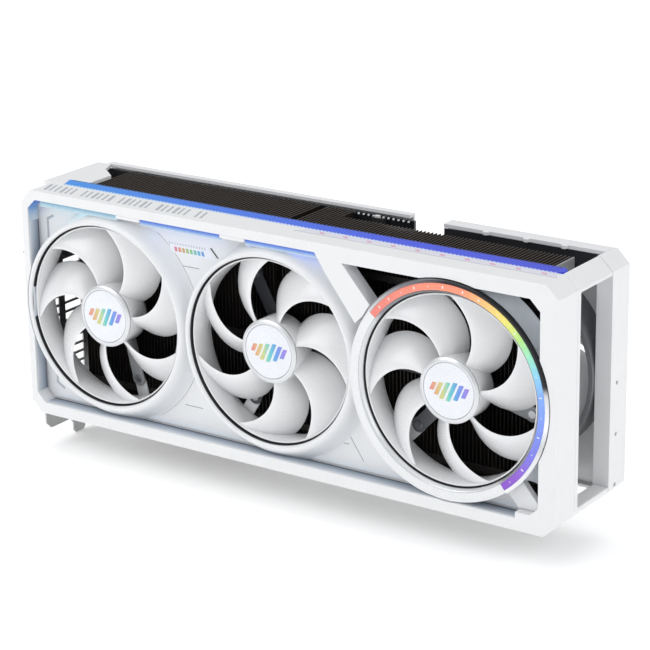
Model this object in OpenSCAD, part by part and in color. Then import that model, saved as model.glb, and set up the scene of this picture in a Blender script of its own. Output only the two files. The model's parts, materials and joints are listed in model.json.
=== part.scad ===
// Graphics card with three front fans, one rear fan, a finned cooler and a three-slot bracket.
// The card stands on its slot contacts. The datum is the middle of the contact edge:
// +X runs away from the bracket, -Y faces the front fans, +Z is the power-connector edge.

/* [Card body] */
// Length of the shroud, bracket excluded
card_l = 355; // [352:0.5:358]
// Height of the shroud
card_h = 136.6; // [135:0.2:138]
// Thickness of the body, light ring excluded
card_t = 75.2; // [75:0.1:76]
// Chamfer on the four corners of the front outline
corner = 7.3; // [4:0.1:9]
// Thickness of the moulded outer walls
wall = 2.4; // [1.8:0.1:2.6]
// Depth of the front frame, front face to light strip
frame_d = 20; // [19:0.1:20.4]
// Depth of the recessed panel behind the frame's face
panel_y = 9.5; // [8.5:0.1:11]
// Width of the left frame band
band_left = 4.4; // [4:0.1:6]
// Width of the bottom frame band
band_bottom = 6.9; // [5:0.1:8]
// Width of the top frame band over the panel
band_top = 5.6; // [5:0.1:6]
// Width of the bar at the right end
bar_w = 10.4; // [10:0.1:11]

/* [Fans] */
// Distance between neighbouring front fans
fan_pitch = 116; // [115.6:0.1:116.6]
// Distance from the left end to the first fan's axis
fan_x = 57.4; // [57:0.1:58]
// Radius of each fan's duct
duct_r = 53.6; // [53.4:0.1:53.8]
// Outer radius of each rotor's rim
rotor_r = 52.8; // [52:0.1:53]
// Radius of each rotor's hub
hub_r = 18.3; // [17:0.1:19]
// Number of blades on a rotor
blades = 7; // [5:1:9]
// Angle that one blade covers, seen along the axis
blade_span = 33; // [25:1:38]
// Forward sweep from a blade's root to its tip
blade_sweep = 32; // [10:1:40]
// Leading edge angle of one blade on the left, centre, right and rear rotor
blade_start = [109.5, 120.1, 112, 100]; // [0:1:360]
// Radius of the motor shaft
shaft_r = 1.5; // [1.4:0.05:1.6]
// Radial clearance between shaft and bearing
shaft_gap = 0.05; // [0.02:0.01:0.08]

/* [Light ring] */
// Outer radius of the ring round the right fan
ring_r = 60.5; // [60:0.1:61]
// Height of the ring over the frame's face
ring_proud = 0.8; // [0.4:0.1:1.2]
// First and last angle of the lit arc
lit_arc = [-53, 143]; // [-180:1:180]

/* [Cooler] */
// Distance between cooling fins
fin_pitch = 2.4; // [2:0.1:3]
// Thickness of one fin
fin_t = 0.4; // [0.3:0.05:0.5]
// Front edge of the fins
fin_front = 21; // [20.9:0.1:21.5]
// Top edge of the fins
fin_top = 134.7; // [134:0.1:135]
// Back edge of the fins that touch the vapor chamber
fin_back_deep = 61.8; // [61.5:0.1:62]
// Back edge of the fins in front of the rear fan
fin_back_short = 54.2; // [53.8:0.1:54.4]
// Radius of a heat pipe
pipe_r = 3; // [2.5:0.1:3.2]

/* [Board] */
// Front face of the circuit board
board_y = 68.2; // [68:0.1:68.4]
// Thickness of the circuit board
board_t = 1.6; // [1.5:0.05:1.7]
// Depth of the slot contacts below the shroud
finger_drop = 12.7; // [12.6:0.1:12.8]
// Distance from the bracket to the middle of the slot contacts
finger_x = 88; // [87:0.1:89]
// Length of the whole contact edge
finger_l = 85.2; // [85:0.1:85.4]

/* [Mounting] */
// Width of a one-slot bracket
slot_w = 18.42; // [18.4:0.01:18.44]
// Distance between neighbouring slots
slot_pitch = 20.32; // [20.3:0.01:20.34]
// Height of the bracket, foot tip to flange
bracket_h = 120; // [119.8:0.1:120.2]
// Radius of the tapped holes in the right end
end_hole_r = 1.25; // [1.2:0.05:1.3]
// Distance between the tapped holes in the right end
end_hole_pitch = 28.95; // [28.5:0.05:29.5]

/* [Hidden] */
$fn = 96;
eps = 0.01;

// Board and datum
board_back = board_y + board_t;
board_mid = board_y + board_t / 2;
shell_gap = 0.2;

// Fans: depths are measured from the face that a fan looks out of
fan_z = card_h / 2;
fan_at = [for (i = [0:2]) [fan_x + i * fan_pitch, fan_z]];
rear_at = fan_at[2];
blade_depth = [3.4, 17.2];
rim_depth = [2.8, 17.4];
rim_t = 1;
hub_depth = [3, 17.2];
hub_wall = 1.6;
cap_depth = [1.8, 3];
cap_r = hub_r - 0.1;
cap_bevel = 1.2;
duct_wall = 2.4;
duct_d = 20.6;
ear_depth = [18.6, 19.5];
rib_depth = [19.5, 20.6];
ear_r = 42;
ear_boss_r = 4.4;
arm_w = 8;
arm_at = [-77, 118, 226, 50];
function arm_turn(i, k) = (i < 3 ? -1 : 1) * (arm_at[i] + 120 * k);
screw_r = 1.1;
bearing_r = 3.5;
bearing_depth = [8, 19.4];
tube_r = 5;
base_r = 16;
stator_r = 13;
stator_depth = [10, 15];
stator_arms = 6;
boss_r = 3;

// Front panel
flare_r = 66.3;
lip_clear = 56.4;
ring_clear = ring_r + 1.2;
panel_t = 2.4;

// Light ring
ring_back = 3.2;
groove = [55, 59];
groove_d = 1.2;
strut_angle = -50;
strut_x = 331;
trim_t = 0.8;
play = 0.1;

// Cooler
fins_left = [27, 166];
fins_right = [170, 331.5];
fin_back_top = 67.2;
deep_to = 188;
pipe_z = [for (i = [0:5]) 28 + 16 * i];
pipe_deep_y = 58.6;
pipe_short_y = 50.5;
pipe_bend_r = 12;
pipe_start = 46;
pipe_bend_x = 168;
pipe_end = 329;
fin_bottom = wall + 0.2;
board_led_cut = [31.5, 131];

// Electronics
gpu_at = [112, 68.3];
chamber = [[62, 18], [162, 120]];
memory_size = [14, 12, 1.2];
stage_rows = 11;
stage_z = 15;
stage_pitch = 9.6;

// Bracket
bracket_t = 1;
bracket_top = bracket_h - 26;
slot_y = [for (i = [0:2]) board_y - 6.93 - i * slot_pitch];
port_z = [for (i = [0:4]) 17.6 + i * 16.6];
port_size = [15.2, 5.8];
hdmi_index = [0, 4];
displayport_index = [1, 2, 3];
port_reach = [-2.6, 12];
port_wall = 0.6;

// Power connector
plug_x = [225, 244];
plug_y = [60.2, board_y];
plug_z = [105, 126];
plug_wall = 1.2;
pin_top = 121.4;

// Everything is drawn from the shroud's lower left front corner, then moved to the datum.
module at_datum() {
    translate([-finger_x, -board_mid, finger_drop]) children();
}

// A flat outline in X and Z, given a thickness from y0 to y1.
module slab(y0, y1) {
    translate([0, y1, 0]) rotate([90, 0, 0]) linear_extrude(y1 - y0) children();
}

// A shape turned about a fan's axis. Its own z becomes the depth behind the front face.
module about_fan(at) {
    translate([at[0], 0, at[1]]) rotate([-90, 0, 0]) children();
}

// The same for a fan that looks out of the back.
module about_rear_fan(at) {
    translate([at[0], card_t, at[1]]) rotate([90, 0, 0]) children();
}

// Places a shape on one of the four fans: 0 left, 1 centre, 2 right, 3 rear.
module on_fan(i) {
    if (i < 3) {
        about_fan(fan_at[i]) children();
    } else {
        about_rear_fan(rear_at) children();
    }
}

module box(low, high) {
    translate(low) cube(high - low);
}

module chamfered(x0, z0, x1, z1, c) {
    polygon([
        [x0 + c, z0], [x1 - c, z0], [x1, z0 + c], [x1, z1 - c],
        [x1 - c, z1], [x0 + c, z1], [x0, z1 - c], [x0, z0 + c]
    ]);
}

module tube(r0, r1, depth) {
    rotate_extrude() translate([r0, depth[0]]) square([r1 - r0, depth[1] - depth[0]]);
}

module disc(r, depth) {
    translate([0, 0, depth[0]]) cylinder(r = r, h = depth[1] - depth[0]);
}

module outline(inset = 0) {
    chamfered(inset, inset, card_l - inset, card_h - inset, corner - inset * 0.586);
}

// Opening over the panel of the left and centre fans.
module left_opening() {
    polygon([
        [band_left, 12.5], [10, band_bottom], [strut_x, band_bottom], [strut_x, 27], [236, 27],
        [232, 96], [212.5, 122], [206.5, card_h - band_top], [10, card_h - band_top],
        [band_left, 125.4]
    ]);
}

// Opening round the right fan.
module right_opening() {
    polygon([
        [224, 127.7], [338.5, 127.7], [card_l - bar_w, 121.6], [card_l - bar_w, 15],
        [340, 10.4], [strut_x, 10.4], [strut_x, 27], [236, 27], [232, 96], [243, 106]
    ]);
}

module front_frame() {
    color("whitesmoke") at_datum() difference() {
        union() {
            slab(0, panel_y - play) outline();
            slab(panel_y - play - eps, frame_d) difference() {
                outline();
                outline(wall);
            }
        }
        slab(-1, panel_y + 1) left_opening();
        slab(-1, panel_y + 1) right_opening();
        about_fan(fan_at[0]) disc(lip_clear + 0.3, [-1, panel_y + 1]);
        about_fan(fan_at[2]) disc(ring_clear, [-1, ring_back]);
        about_fan(fan_at[2]) disc(duct_r + duct_wall + play, [-1, frame_d + 1]);
    }
}

// Round lip, flare and duct of one fan in the panel.
module fan_mouth() {
    rotate_extrude() polygon([
        [duct_r, 1.8], [54.2, 0.4], [55, 0], [55.8, 0.2], [57.5, 1.1], [60, 3.6],
        [63, 7], [flare_r, panel_y], [flare_r, panel_y + panel_t],
        [duct_r + duct_wall, panel_y + panel_t], [duct_r + duct_wall, duct_d], [duct_r, duct_d]
    ]);
}

// Three ribs inside a duct that carry the fan's screws.
module duct_ribs(i) {
    for (k = [0:2]) rotate([0, 0, arm_turn(i, k)]) difference() {
        union() {
            translate([ear_r, -arm_w / 2, rib_depth[0]])
                cube([duct_r + 1 - ear_r, arm_w, rib_depth[1] - rib_depth[0]]);
            translate([ear_r, 0, 0]) disc(ear_boss_r, rib_depth);
        }
        translate([ear_r, 0, 0]) disc(screw_r, [rib_depth[0] - 1, rib_depth[1] + 1]);
    }
}

module fan_shroud_panel() {
    color("white") at_datum() {
        difference() {
            intersection() {
                union() {
                    slab(panel_y, panel_y + panel_t) difference() {
                        intersection() {
                            outline(wall + shell_gap);
                            polygon([
                                [0, 0], [strut_x, 0], [strut_x, 27], [236, 27], [232, 96],
                                [212.5, 122], [204, card_h], [0, card_h]
                            ]);
                        }
                        for (i = [0, 1]) translate(fan_at[i]) circle(flare_r - 1);
                    }
                    for (i = [0, 1]) about_fan(fan_at[i]) fan_mouth();
                }
                union() {
                    slab(-1, panel_y + eps) {
                        intersection() {
                            left_opening();
                            translate([play, play]) square([card_l, card_h - band_top - 2 * play]);
                        }
                        translate(fan_at[0]) circle(lip_clear);
                    }
                    slab(panel_y, frame_d + 1) outline(wall + shell_gap);
                }
            }
            for (i = [0, 1]) about_fan(fan_at[i]) disc(duct_r, [-1, duct_d + 1]);
            about_fan(fan_at[2]) disc(ring_clear, [-2, ring_back + 1]);
            about_fan(fan_at[2]) disc(duct_r + duct_wall + play, [-2, frame_d + 1]);
        }
        for (i = [0, 1]) about_fan(fan_at[i]) duct_ribs(i);
    }
}

module lit_sector(r0, r1, depth, spare) {
    rotate([0, 0, -lit_arc[1] - spare])
        rotate_extrude(angle = lit_arc[1] - lit_arc[0] + 2 * spare)
            translate([r0, depth[0]]) square([r1 - r0, depth[1] - depth[0]]);
}

module right_ring_base() {
    color("white") at_datum() {
        about_fan(fan_at[2]) difference() {
            union() {
                tube(duct_r, ring_r, [-ring_proud, ring_back]);
                tube(duct_r, duct_r + duct_wall, [ring_back - eps, duct_d]);
            }
            lit_sector(groove[0], groove[1], [-ring_proud - 1, groove_d - ring_proud], 0);
        }
        about_fan(fan_at[2]) duct_ribs(2);
        slab(5, 9) difference() {
            intersection() {
                right_opening();
                translate(fan_at[2]) rotate(strut_angle) translate([duct_r, -6]) square([40, 12]);
            }
            translate(fan_at[2]) circle(duct_r + 1);
        }
    }
}

module right_ring_light() {
    color("lightskyblue") at_datum() about_fan(fan_at[2])
        lit_sector(groove[0] + play, groove[1] - play,
            [-ring_proud + play, groove_d - ring_proud], -0.1);
}

module right_ring_trim() {
    color("dimgray") at_datum() about_fan(fan_at[2])
        lit_sector(ring_r, ring_r + trim_t, [-ring_proud + 0.4, ring_back - play], 0);
}

module shroud_badge() {
    color("lavender") at_datum() slab(panel_y - 0.6, panel_y) difference() {
        polygon([[111, 116.5], [140, 116.5], [135, 122.4], [107, 122.4]]);
        translate(fan_at[1]) circle(flare_r + 0.2);
    }
}

// Segments of the light bar under the frame's top band.
bar_y = [0.8, 3.4];
bar_z = [card_h - band_top - 1.9, card_h - band_top - 0.1];
bar_x = [[20, 70], [87, 143], [160, 206]];

module front_light_bars() {
    color("cornflowerblue") at_datum() for (x = bar_x)
        box([x[0], bar_y[0], bar_z[0]], [x[1], bar_y[1], bar_z[1]]);
}

module light_bar_clips() {
    color("white") at_datum() for (i = [0, 1])
        box([bar_x[i][1] + play, bar_y[0] - 0.4, bar_z[0] - 0.2],
            [bar_x[i + 1][0] - play, bar_y[1], bar_z[1]]);
}

cover_z = card_h - wall;

module top_left_cover() {
    color("white") at_datum() {
        difference() {
            translate([0, 0, cover_z]) linear_extrude(wall) polygon([
                [0, frame_d + shell_gap], [15.8, frame_d + shell_gap], [11.8, 30.2], [26.5, 30.2],
                [26.5, 50], [14, 60], [10, 69.9], [0, 69.9]
            ]);
            translate([0, frame_d - 1, card_h]) rotate([0, 45, 0])
                translate([-corner * 0.7 - 20, 0, -20]) cube([20, 60, 40]);
        }
        box([0, frame_d + shell_gap, bracket_top + 2], [wall, 67, card_h - corner]);
        slab(frame_d + shell_gap, 67) polygon([
            [0, card_h - corner], [corner, card_h], [corner + 1, card_h - 0.1],
            [corner + 1, cover_z], [wall, card_h - corner - 1], [wall, 100], [0, 100]
        ]);
    }
}

module top_light_diffuser() {
    color("royalblue") at_datum() translate([0, 0, cover_z]) linear_extrude(wall - 0.2)
        polygon([
            [16, frame_d + shell_gap], [342, frame_d + shell_gap], [345.2, 23.4], [345.2, 26.8],
            [342, 30], [12, 30]
        ]);
}

module top_light_board() {
    color("dimgray") at_datum()
        box([18, frame_d + 1.5, cover_z - 1.4], [340, 28.5, cover_z - 0.2]);
}

end_x = [card_l - 9.4, card_l];
window_y = [23.7, 56.9];
window_z = [9.5, 127.3];

module right_end_cap() {
    color("white") at_datum() difference() {
        slab(frame_d + shell_gap, window_y[1]) intersection() {
            outline();
            translate([end_x[0], 0]) square([20, card_h]);
        }
        box([end_x[0] - 1, window_y[0], window_z[0]],
            [card_l + 1, window_y[1] + 1, window_z[1]]);
    }
}

end_hole_y = 63.9;
end_hole_z = [for (i = [0:2]) 8.8 + i * end_hole_pitch];

module rear_end_block() {
    color("white") at_datum() difference() {
        slab(window_y[1] + 0.1, card_t) intersection() {
            outline();
            translate([end_x[0], 0]) square([20, card_h]);
        }
        for (z = end_hole_z) translate([end_x[0] - 1, end_hole_y, z])
            rotate([0, 90, 0]) cylinder(r = end_hole_r, h = end_x[1] - end_x[0] + 2);
    }
}

back_plate_y = card_t - 1.6;
back_split = 222;
back_screws = [for (x = [22, 88, 154, 214]) for (z = [8, 128.6]) [x, z]];
back_screw_r = 1.25;
back_flange_y = 70.2;

module backplate() {
    color("white") at_datum() difference() {
        union() {
            slab(back_plate_y, card_t) intersection() {
                outline();
                translate([7, 0]) square([back_split - 7, card_h]);
            }
            box([7, back_flange_y, card_h - 1.8], [back_split, back_plate_y + eps, card_h]);
            box([14, back_flange_y, 0], [back_split, back_plate_y + eps, 1.8]);
            for (p = back_screws) translate([p[0], 0, p[1]]) rotate([-90, 0, 0])
                tube(back_screw_r + 0.25, 3, [board_back, back_plate_y + eps]);
        }
        for (p = back_screws) translate([p[0], 0, p[1]]) rotate([-90, 0, 0]) {
            disc(back_screw_r + 0.25, [board_back - 1, card_t + 1]);
            disc(2.8, [card_t - 0.9, card_t + 1]);
        }
        slab(back_plate_y - 1, card_t + 1) for (i = [0:5])
            translate([60 + i * 16, 40]) square([9, 56]);
    }
}

module rear_fan_cover() {
    color("white") at_datum() difference() {
        union() {
            slab(back_plate_y, card_t) intersection() {
                outline();
                polygon([
                    [back_split + shell_gap, 0], [end_x[0] - shell_gap, 0],
                    [end_x[0] - shell_gap, card_h], [246, card_h], [244, card_h - 3],
                    [244, 122], [240, 118], [back_split + shell_gap, 118]
                ]);
            }
            box([246, 66.4, card_h - wall], [end_x[0] - shell_gap, back_plate_y + eps, card_h]);
            box([back_split + shell_gap, back_flange_y, 0],
                [end_x[0] - shell_gap, back_plate_y + eps, 1.8]);
        }
        about_rear_fan(rear_at) disc(duct_r, [-1, 10]);
    }
}

module rear_fan_frame() {
    color("dimgray") at_datum() about_rear_fan(rear_at) {
        tube(duct_r, duct_r + duct_wall, [1.6, duct_d]);
        duct_ribs(3);
    }
}

board_top = 134.2;
board_low = 1.9;
board_x = [6, 226];
key_x = finger_x - finger_l / 2 + 11.65;
key_w = 1.9;

module board_outline() {
    x0 = finger_x - finger_l / 2;
    x1 = finger_x + finger_l / 2;
    polygon([
        [board_x[0], board_low], [x0, board_low], [x0, 1 - finger_drop], [x0 + 1, -finger_drop],
        [key_x, -finger_drop], [key_x, -4.5], [key_x + key_w, -4.5],
        [key_x + key_w, -finger_drop], [x1 - 1, -finger_drop], [x1, 1 - finger_drop],
        [x1, board_low], [board_x[1], board_low], [board_x[1], 80], [234, 86], [244.6, 106],
        [244.6, 116], [board_x[1], 116], [board_x[1], board_top], [board_x[0], board_top]
    ]);
}

module circuit_board() {
    color("#1c1f24") at_datum() difference() {
        slab(board_y, board_back) board_outline();
        for (p = back_screws) translate([p[0], 0, p[1]]) rotate([-90, 0, 0])
            disc(back_screw_r + 0.25, [board_y - 1, board_back + 1]);
        translate([9, 0, 5]) rotate([-90, 0, 0]) disc(back_screw_r + 0.25, [board_y - 1, board_back + 1]);
    }
}

contact_t = 0.05;
contact_w = 0.7;

module pcie_contacts() {
    color("gold") at_datum() for (y = [board_y - contact_t, board_back]) {
        for (i = [0:10]) box([key_x - 1.1 - i, y, 0.6 - finger_drop],
            [key_x - 1.1 - i + contact_w, y + contact_t, 4.8 - finger_drop]);
        for (i = [0:70]) box([key_x + key_w + 0.45 + i, y, 0.6 - finger_drop],
            [key_x + key_w + 0.45 + i + contact_w, y + contact_t, 4.8 - finger_drop]);
    }
}

die_y = 65.3;

module gpu_package() {
    at_datum() {
        color("darkgreen") box([gpu_at[0] - 24, board_y - 2, gpu_at[1] - 24],
            [gpu_at[0] + 24, board_y, gpu_at[1] + 24]);
        color("lightsteelblue") box([gpu_at[0] - 14, die_y + 0.1, gpu_at[1] - 13],
            [gpu_at[0] + 14, board_y - 2 + eps, gpu_at[1] + 13]);
    }
}

// Middles of the memory chips: four on each side of the processor.
memory_at = [
    for (i = [0:3]) each [
        [gpu_at[0] - 37, gpu_at[1] - 27 + 18 * i], [gpu_at[0] + 37, gpu_at[1] - 27 + 18 * i],
        [gpu_at[0] - 22.5 + 15 * i, gpu_at[1] - 38], [gpu_at[0] - 22.5 + 15 * i, gpu_at[1] + 38]
    ]
];

module memory_blocks(y0, y1, inset) {
    for (p = memory_at)
        box([p[0] - memory_size[0] / 2 + inset, y0, p[1] - memory_size[1] / 2 + inset],
            [p[0] + memory_size[0] / 2 - inset, y1, p[1] + memory_size[1] / 2 - inset]);
}

module memory_chips() {
    color("#202226") at_datum() memory_blocks(board_y - memory_size[2], board_y, 0);
}

stage_x = [24, 179];
stage_h = 0.8;

module stage_blocks(y0, y1) {
    for (x = stage_x) for (i = [0:stage_rows - 1])
        box([x, y0, stage_z + i * stage_pitch], [x + 6, y1, stage_z + 5 + i * stage_pitch]);
}

module power_stages() {
    color("#26282c") at_datum() stage_blocks(board_y - stage_h, board_y);
}

module chokes() {
    color("#5c6066") at_datum() for (x = [36, 164]) for (i = [0:stage_rows - 1])
        box([x, board_y - 6, stage_z - 1.2 + i * stage_pitch],
            [x + 8, board_y, stage_z + 6.2 + i * stage_pitch]);
}

module capacitors() {
    color("silver") at_datum() for (x = [51.5, 197]) for (i = [0:stage_rows - 1])
        translate([x, 0, stage_z + 2.5 + i * stage_pitch]) rotate([-90, 0, 0])
            disc(3, [board_y - 5.4, board_y]);
}

module power_connector() {
    color("#26282c") at_datum() difference() {
        box([plug_x[0], plug_y[0], plug_z[0]], [plug_x[1], plug_y[1], plug_z[1]]);
        box([plug_x[0] + plug_wall, plug_y[0] + plug_wall, plug_z[0] + 6],
            [plug_x[1] - plug_wall, plug_y[1] - plug_wall, plug_z[1] + 1]);
    }
}

module power_pins() {
    color("gold") at_datum() for (i = [0:5]) for (y = [62.6, 65.4])
        box([plug_x[0] + 2 + i * 2.9, y - 0.4, plug_z[0] + 6],
            [plug_x[0] + 2.8 + i * 2.9, y + 0.4, pin_top]);
}

// One video port: a metal shell that opens through the bracket.
module video_port(z, long, high) {
    y1 = board_y;
    y0 = y1 - high;
    difference() {
        box([port_reach[0], y0, z - long / 2], [port_reach[1], y1, z + long / 2]);
        box([port_reach[0] - 1, y0 + port_wall, z - long / 2 + port_wall],
            [port_reach[1] - 2, y1 - port_wall, z + long / 2 - port_wall]);
    }
}

module hdmi_ports() {
    color("silver") at_datum() for (i = hdmi_index)
        video_port(port_z[i], port_size[0], port_size[1]);
}

module displayport_ports() {
    color("silver") at_datum() for (i = displayport_index)
        video_port(port_z[i], port_size[0] + 0.8, port_size[1]);
}

switch_x = [200, 208];
switch_z = [board_top - 4.4, board_top - 0.6];
slider_z = switch_z[1] - 1.2;

module bios_switch_body() {
    color("#2b2d31") at_datum() difference() {
        box([switch_x[0], board_y - 3.6, switch_z[0]], [switch_x[1], board_y, switch_z[1]]);
        box([switch_x[0] + 1.4, board_y - 2.9, slider_z - 0.3],
            [switch_x[1] - 1.4, board_y - 0.7, switch_z[1] + 1]);
    }
}

module bios_switch_slider() {
    color("white") at_datum() {
        box([switch_x[0] + 1.6, board_y - 2.7, slider_z],
            [switch_x[0] + 4.4, board_y - 0.9, switch_z[1] + 1]);
    }
}

header_at = [[207, 20], [207, 34], [207, 48], [215, 62]];

module fan_headers() {
    color("ivory") at_datum() for (p = header_at) difference() {
        box([p[0], board_y - 5, p[1]], [p[0] + 6, board_y, p[1] + 8]);
        box([p[0] + 0.7, board_y - 6, p[1] + 0.7], [p[0] + 5.3, board_y - 1.5, p[1] + 7.3]);
    }
}

plate_y = [62, 65.8];

module thermal_pads() {
    color("lightpink") at_datum() {
        memory_blocks(die_y, board_y - memory_size[2], 0.5);
        for (x = stage_x) box([x - 0.5, plate_y[1], stage_z - 1],
            [x + 6.5, board_y - stage_h, stage_z + 6 + (stage_rows - 1) * stage_pitch]);
    }
}

module vrm_plates() {
    color("silver") at_datum() for (x = stage_x)
        box([x - 3, plate_y[0], stage_z - 4],
            [x + 9, plate_y[1], stage_z + 9 + (stage_rows - 1) * stage_pitch]);
}

module vapor_chamber() {
    color("peru") at_datum() slab(fin_back_deep + play, die_y)
        chamfered(chamber[0][0], chamber[0][1], chamber[1][0], chamber[1][1], 4);
}

// Route of one heat pipe: straight on the vapor chamber, then cranked into the right fins.
pipe_turn = acos(1 - (pipe_deep_y - pipe_short_y) / (2 * pipe_bend_r));
pipe_steps = 4;
function pipe_bend(k) = pipe_turn * k / pipe_steps;
pipe_route = concat(
    [[pipe_start, pipe_deep_y, 0]],
    [for (k = [0:pipe_steps]) [
        pipe_bend_x + pipe_bend_r * sin(pipe_bend(k)),
        pipe_deep_y - pipe_bend_r * (1 - cos(pipe_bend(k))), pipe_bend(k)
    ]],
    [for (k = [pipe_steps - 1:-1:0]) [
        pipe_bend_x + pipe_bend_r * (2 * sin(pipe_turn) - sin(pipe_bend(k))),
        pipe_short_y + pipe_bend_r * (1 - cos(pipe_bend(k))), pipe_bend(k)
    ]],
    [[pipe_end, pipe_short_y, 0]]
);
pipe_sides = 16;

module heat_pipe() {
    last = len(pipe_route) - 1;
    points = [
        for (p = pipe_route) for (k = [0:pipe_sides - 1])
            let (a = k * 360 / pipe_sides, across = pipe_r * cos(a))
            [p[0] + across * sin(p[2]), p[1] + across * cos(p[2]), pipe_r * sin(a)]
    ];
    walls = [
        for (i = [0:last - 1]) for (k = [0:pipe_sides - 1])
            let (n = (k + 1) % pipe_sides, b = i * pipe_sides, t = b + pipe_sides)
            each [[b + k, b + n, t + n], [b + k, t + n, t + k]]
    ];
    first_end = [[for (k = [pipe_sides - 1:-1:0]) k]];
    last_end = [[for (k = [0:pipe_sides - 1]) last * pipe_sides + k]];
    polyhedron(points = points, faces = concat(walls, first_end, last_end));
}

module heat_pipes() {
    color("peru") at_datum() for (z = pipe_z) translate([0, 0, z]) heat_pipe();
}

// One fin, an outline in Y and Z. Its back edge steps forward to pipe_y where the pipes lie.
module fin(x, y1, pipe_y) {
    low = pipe_z[0] - pipe_r - play;
    high = pipe_z[5] + pipe_r + play;
    top_y = y1 == fin_back_deep ? fin_back_top : y1;
    translate([x, 0, 0]) rotate([90, 0, 90]) linear_extrude(fin_t) difference() {
        polygon([
            [fin_front, fin_bottom], [y1, fin_bottom], [y1, low], [pipe_y, low],
            [pipe_y, high], [y1, high], [y1, 126], [top_y, 126], [top_y, fin_top],
            [board_led_cut[0], fin_top], [board_led_cut[0], board_led_cut[1]],
            [fin_front, board_led_cut[1]]
        ]);
        if (pipe_y == y1) for (z = pipe_z) translate([pipe_short_y, z]) circle(pipe_r + play);
    }
}

// Folded tabs that tie a row of fins together at the front and in the middle.
module fin_ties(x0, x1) {
    for (z = [18, 66, 114]) for (y = [fin_front, 38])
        box([x0, y, z], [x1 + fin_t, y + 0.4, z + 4]);
}

module fin_stack_left() {
    last = floor((fins_left[1] - fins_left[0]) / fin_pitch);
    color("#3a352f") at_datum() {
        for (i = [0:last])
            fin(fins_left[0] + i * fin_pitch, fin_back_deep, pipe_deep_y - pipe_r - play);
        fin_ties(fins_left[0], fins_left[0] + last * fin_pitch);
    }
}

module fin_stack_right() {
    last = floor((fins_right[1] - fins_right[0]) / fin_pitch);
    color("#3a352f") at_datum() {
        for (i = [0:last]) let (x = fins_right[0] + i * fin_pitch)
            if (x < deep_to) fin(x, fin_back_deep, pipe_short_y - pipe_r - play);
            else fin(x, fin_back_short, fin_back_short);
        fin_ties(fins_right[0], fins_right[0] + last * fin_pitch);
    }
}

module fin_end_plate() {
    color("gray") at_datum() {
        box([332.8, fin_front, fin_bottom], [333.8, fin_back_short, board_led_cut[1]]);
        box([332.8, board_led_cut[0], board_led_cut[1] - eps], [333.8, fin_back_short, fin_top]);
    }
}

// Motor plate, bearing tube and three arms of one fan.
module fan_base(i) {
    on_fan(i) {
        difference() {
            union() {
                rotate([0, 0, arm_turn(i, 0.5)]) {
                    disc(base_r, [ear_depth[0], rib_depth[1]]);
                    disc(tube_r, [bearing_depth[0], ear_depth[0] + eps]);
                }
                for (k = [0:2]) rotate([0, 0, arm_turn(i, k)]) {
                    translate([base_r - 2, -arm_w / 2, ear_depth[0]])
                        cube([ear_r - base_r + 2, arm_w, ear_depth[1] - ear_depth[0]]);
                    translate([ear_r, 0, 0]) disc(ear_boss_r, ear_depth);
                }
            }
            disc(bearing_r, [bearing_depth[0] - 1, bearing_depth[1]]);
            for (k = [0:2]) rotate([0, 0, arm_turn(i, k)]) translate([ear_r, 0, 0])
                disc(screw_r, [ear_depth[0] - 1, ear_depth[1] + 1]);
        }
    }
}

module left_fan_base() { color("#45484d") at_datum() fan_base(0); }
module center_fan_base() { color("#45484d") at_datum() fan_base(1); }
module right_fan_base() { color("#45484d") at_datum() fan_base(2); }
module rear_fan_base() { color("#45484d") at_datum() fan_base(3); }

// Wound stator with its poles, pressed on the bearing tube.
module stator() {
    difference() {
        union() {
            disc(tube_r + 2.6, stator_depth);
            for (k = [0:stator_arms - 1]) rotate([0, 0, k * 360 / stator_arms]) {
                translate([tube_r, -1.5, stator_depth[0] + 1])
                    cube([stator_r - tube_r - 0.6, 3, stator_depth[1] - stator_depth[0] - 2]);
                translate([stator_r - 1.8, -4, stator_depth[0] + 0.5])
                    cube([1.5, 8, stator_depth[1] - stator_depth[0] - 1]);
            }
        }
        disc(tube_r, [stator_depth[0] - 1, stator_depth[1] + 1]);
    }
}

module fan_stators() {
    color("chocolate") at_datum() for (i = [0:3]) on_fan(i) stator();
}

module fan_bearings() {
    color("goldenrod") at_datum() for (i = [0:3]) on_fan(i) difference() {
        disc(bearing_r, bearing_depth);
        disc(shaft_r + shaft_gap, [bearing_depth[0] - 1, bearing_depth[1] - 0.4]);
    }
}

module fan_screws() {
    color("gray") at_datum() for (i = [0:3]) on_fan(i) for (k = [0:2])
        rotate([0, 0, arm_turn(i, k)]) translate([ear_r, 0, 0]) {
            disc(2.3, [ear_depth[0] - 0.6, ear_depth[0]]);
            disc(screw_r, [ear_depth[0] - eps, rib_depth[1]]);
        }
}

// Shape of one blade: rows run from root to tip, columns from leading to trailing edge.
blade_rows = 6;
blade_cols = 7;
blade_r = [hub_r - hub_wall / 2, rotor_r - rim_t / 2];
function sweep_at(r) = blade_sweep * pow(max(0, (r - hub_r) / (rotor_r - hub_r)), 1.7);
function blade_t(s) = 0.7 + 1.5 * sin(180 * pow(s, 0.6));
function blade_z(s) = blade_depth[0] + 0.8
    + (blade_depth[1] - blade_depth[0] - 1.6) * (0.62 * s + 0.38 * s * s);
function blade_point(i, j, side, hand) =
    let (
        r = blade_r[0] + (blade_r[1] - blade_r[0]) * i / blade_rows,
        s = j / blade_cols,
        a = hand * (sweep_at(r) - blade_span * s),
        z = blade_z(s) + side * blade_t(s) / 2
    )
    [r * cos(a), -r * sin(a), z];

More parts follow.
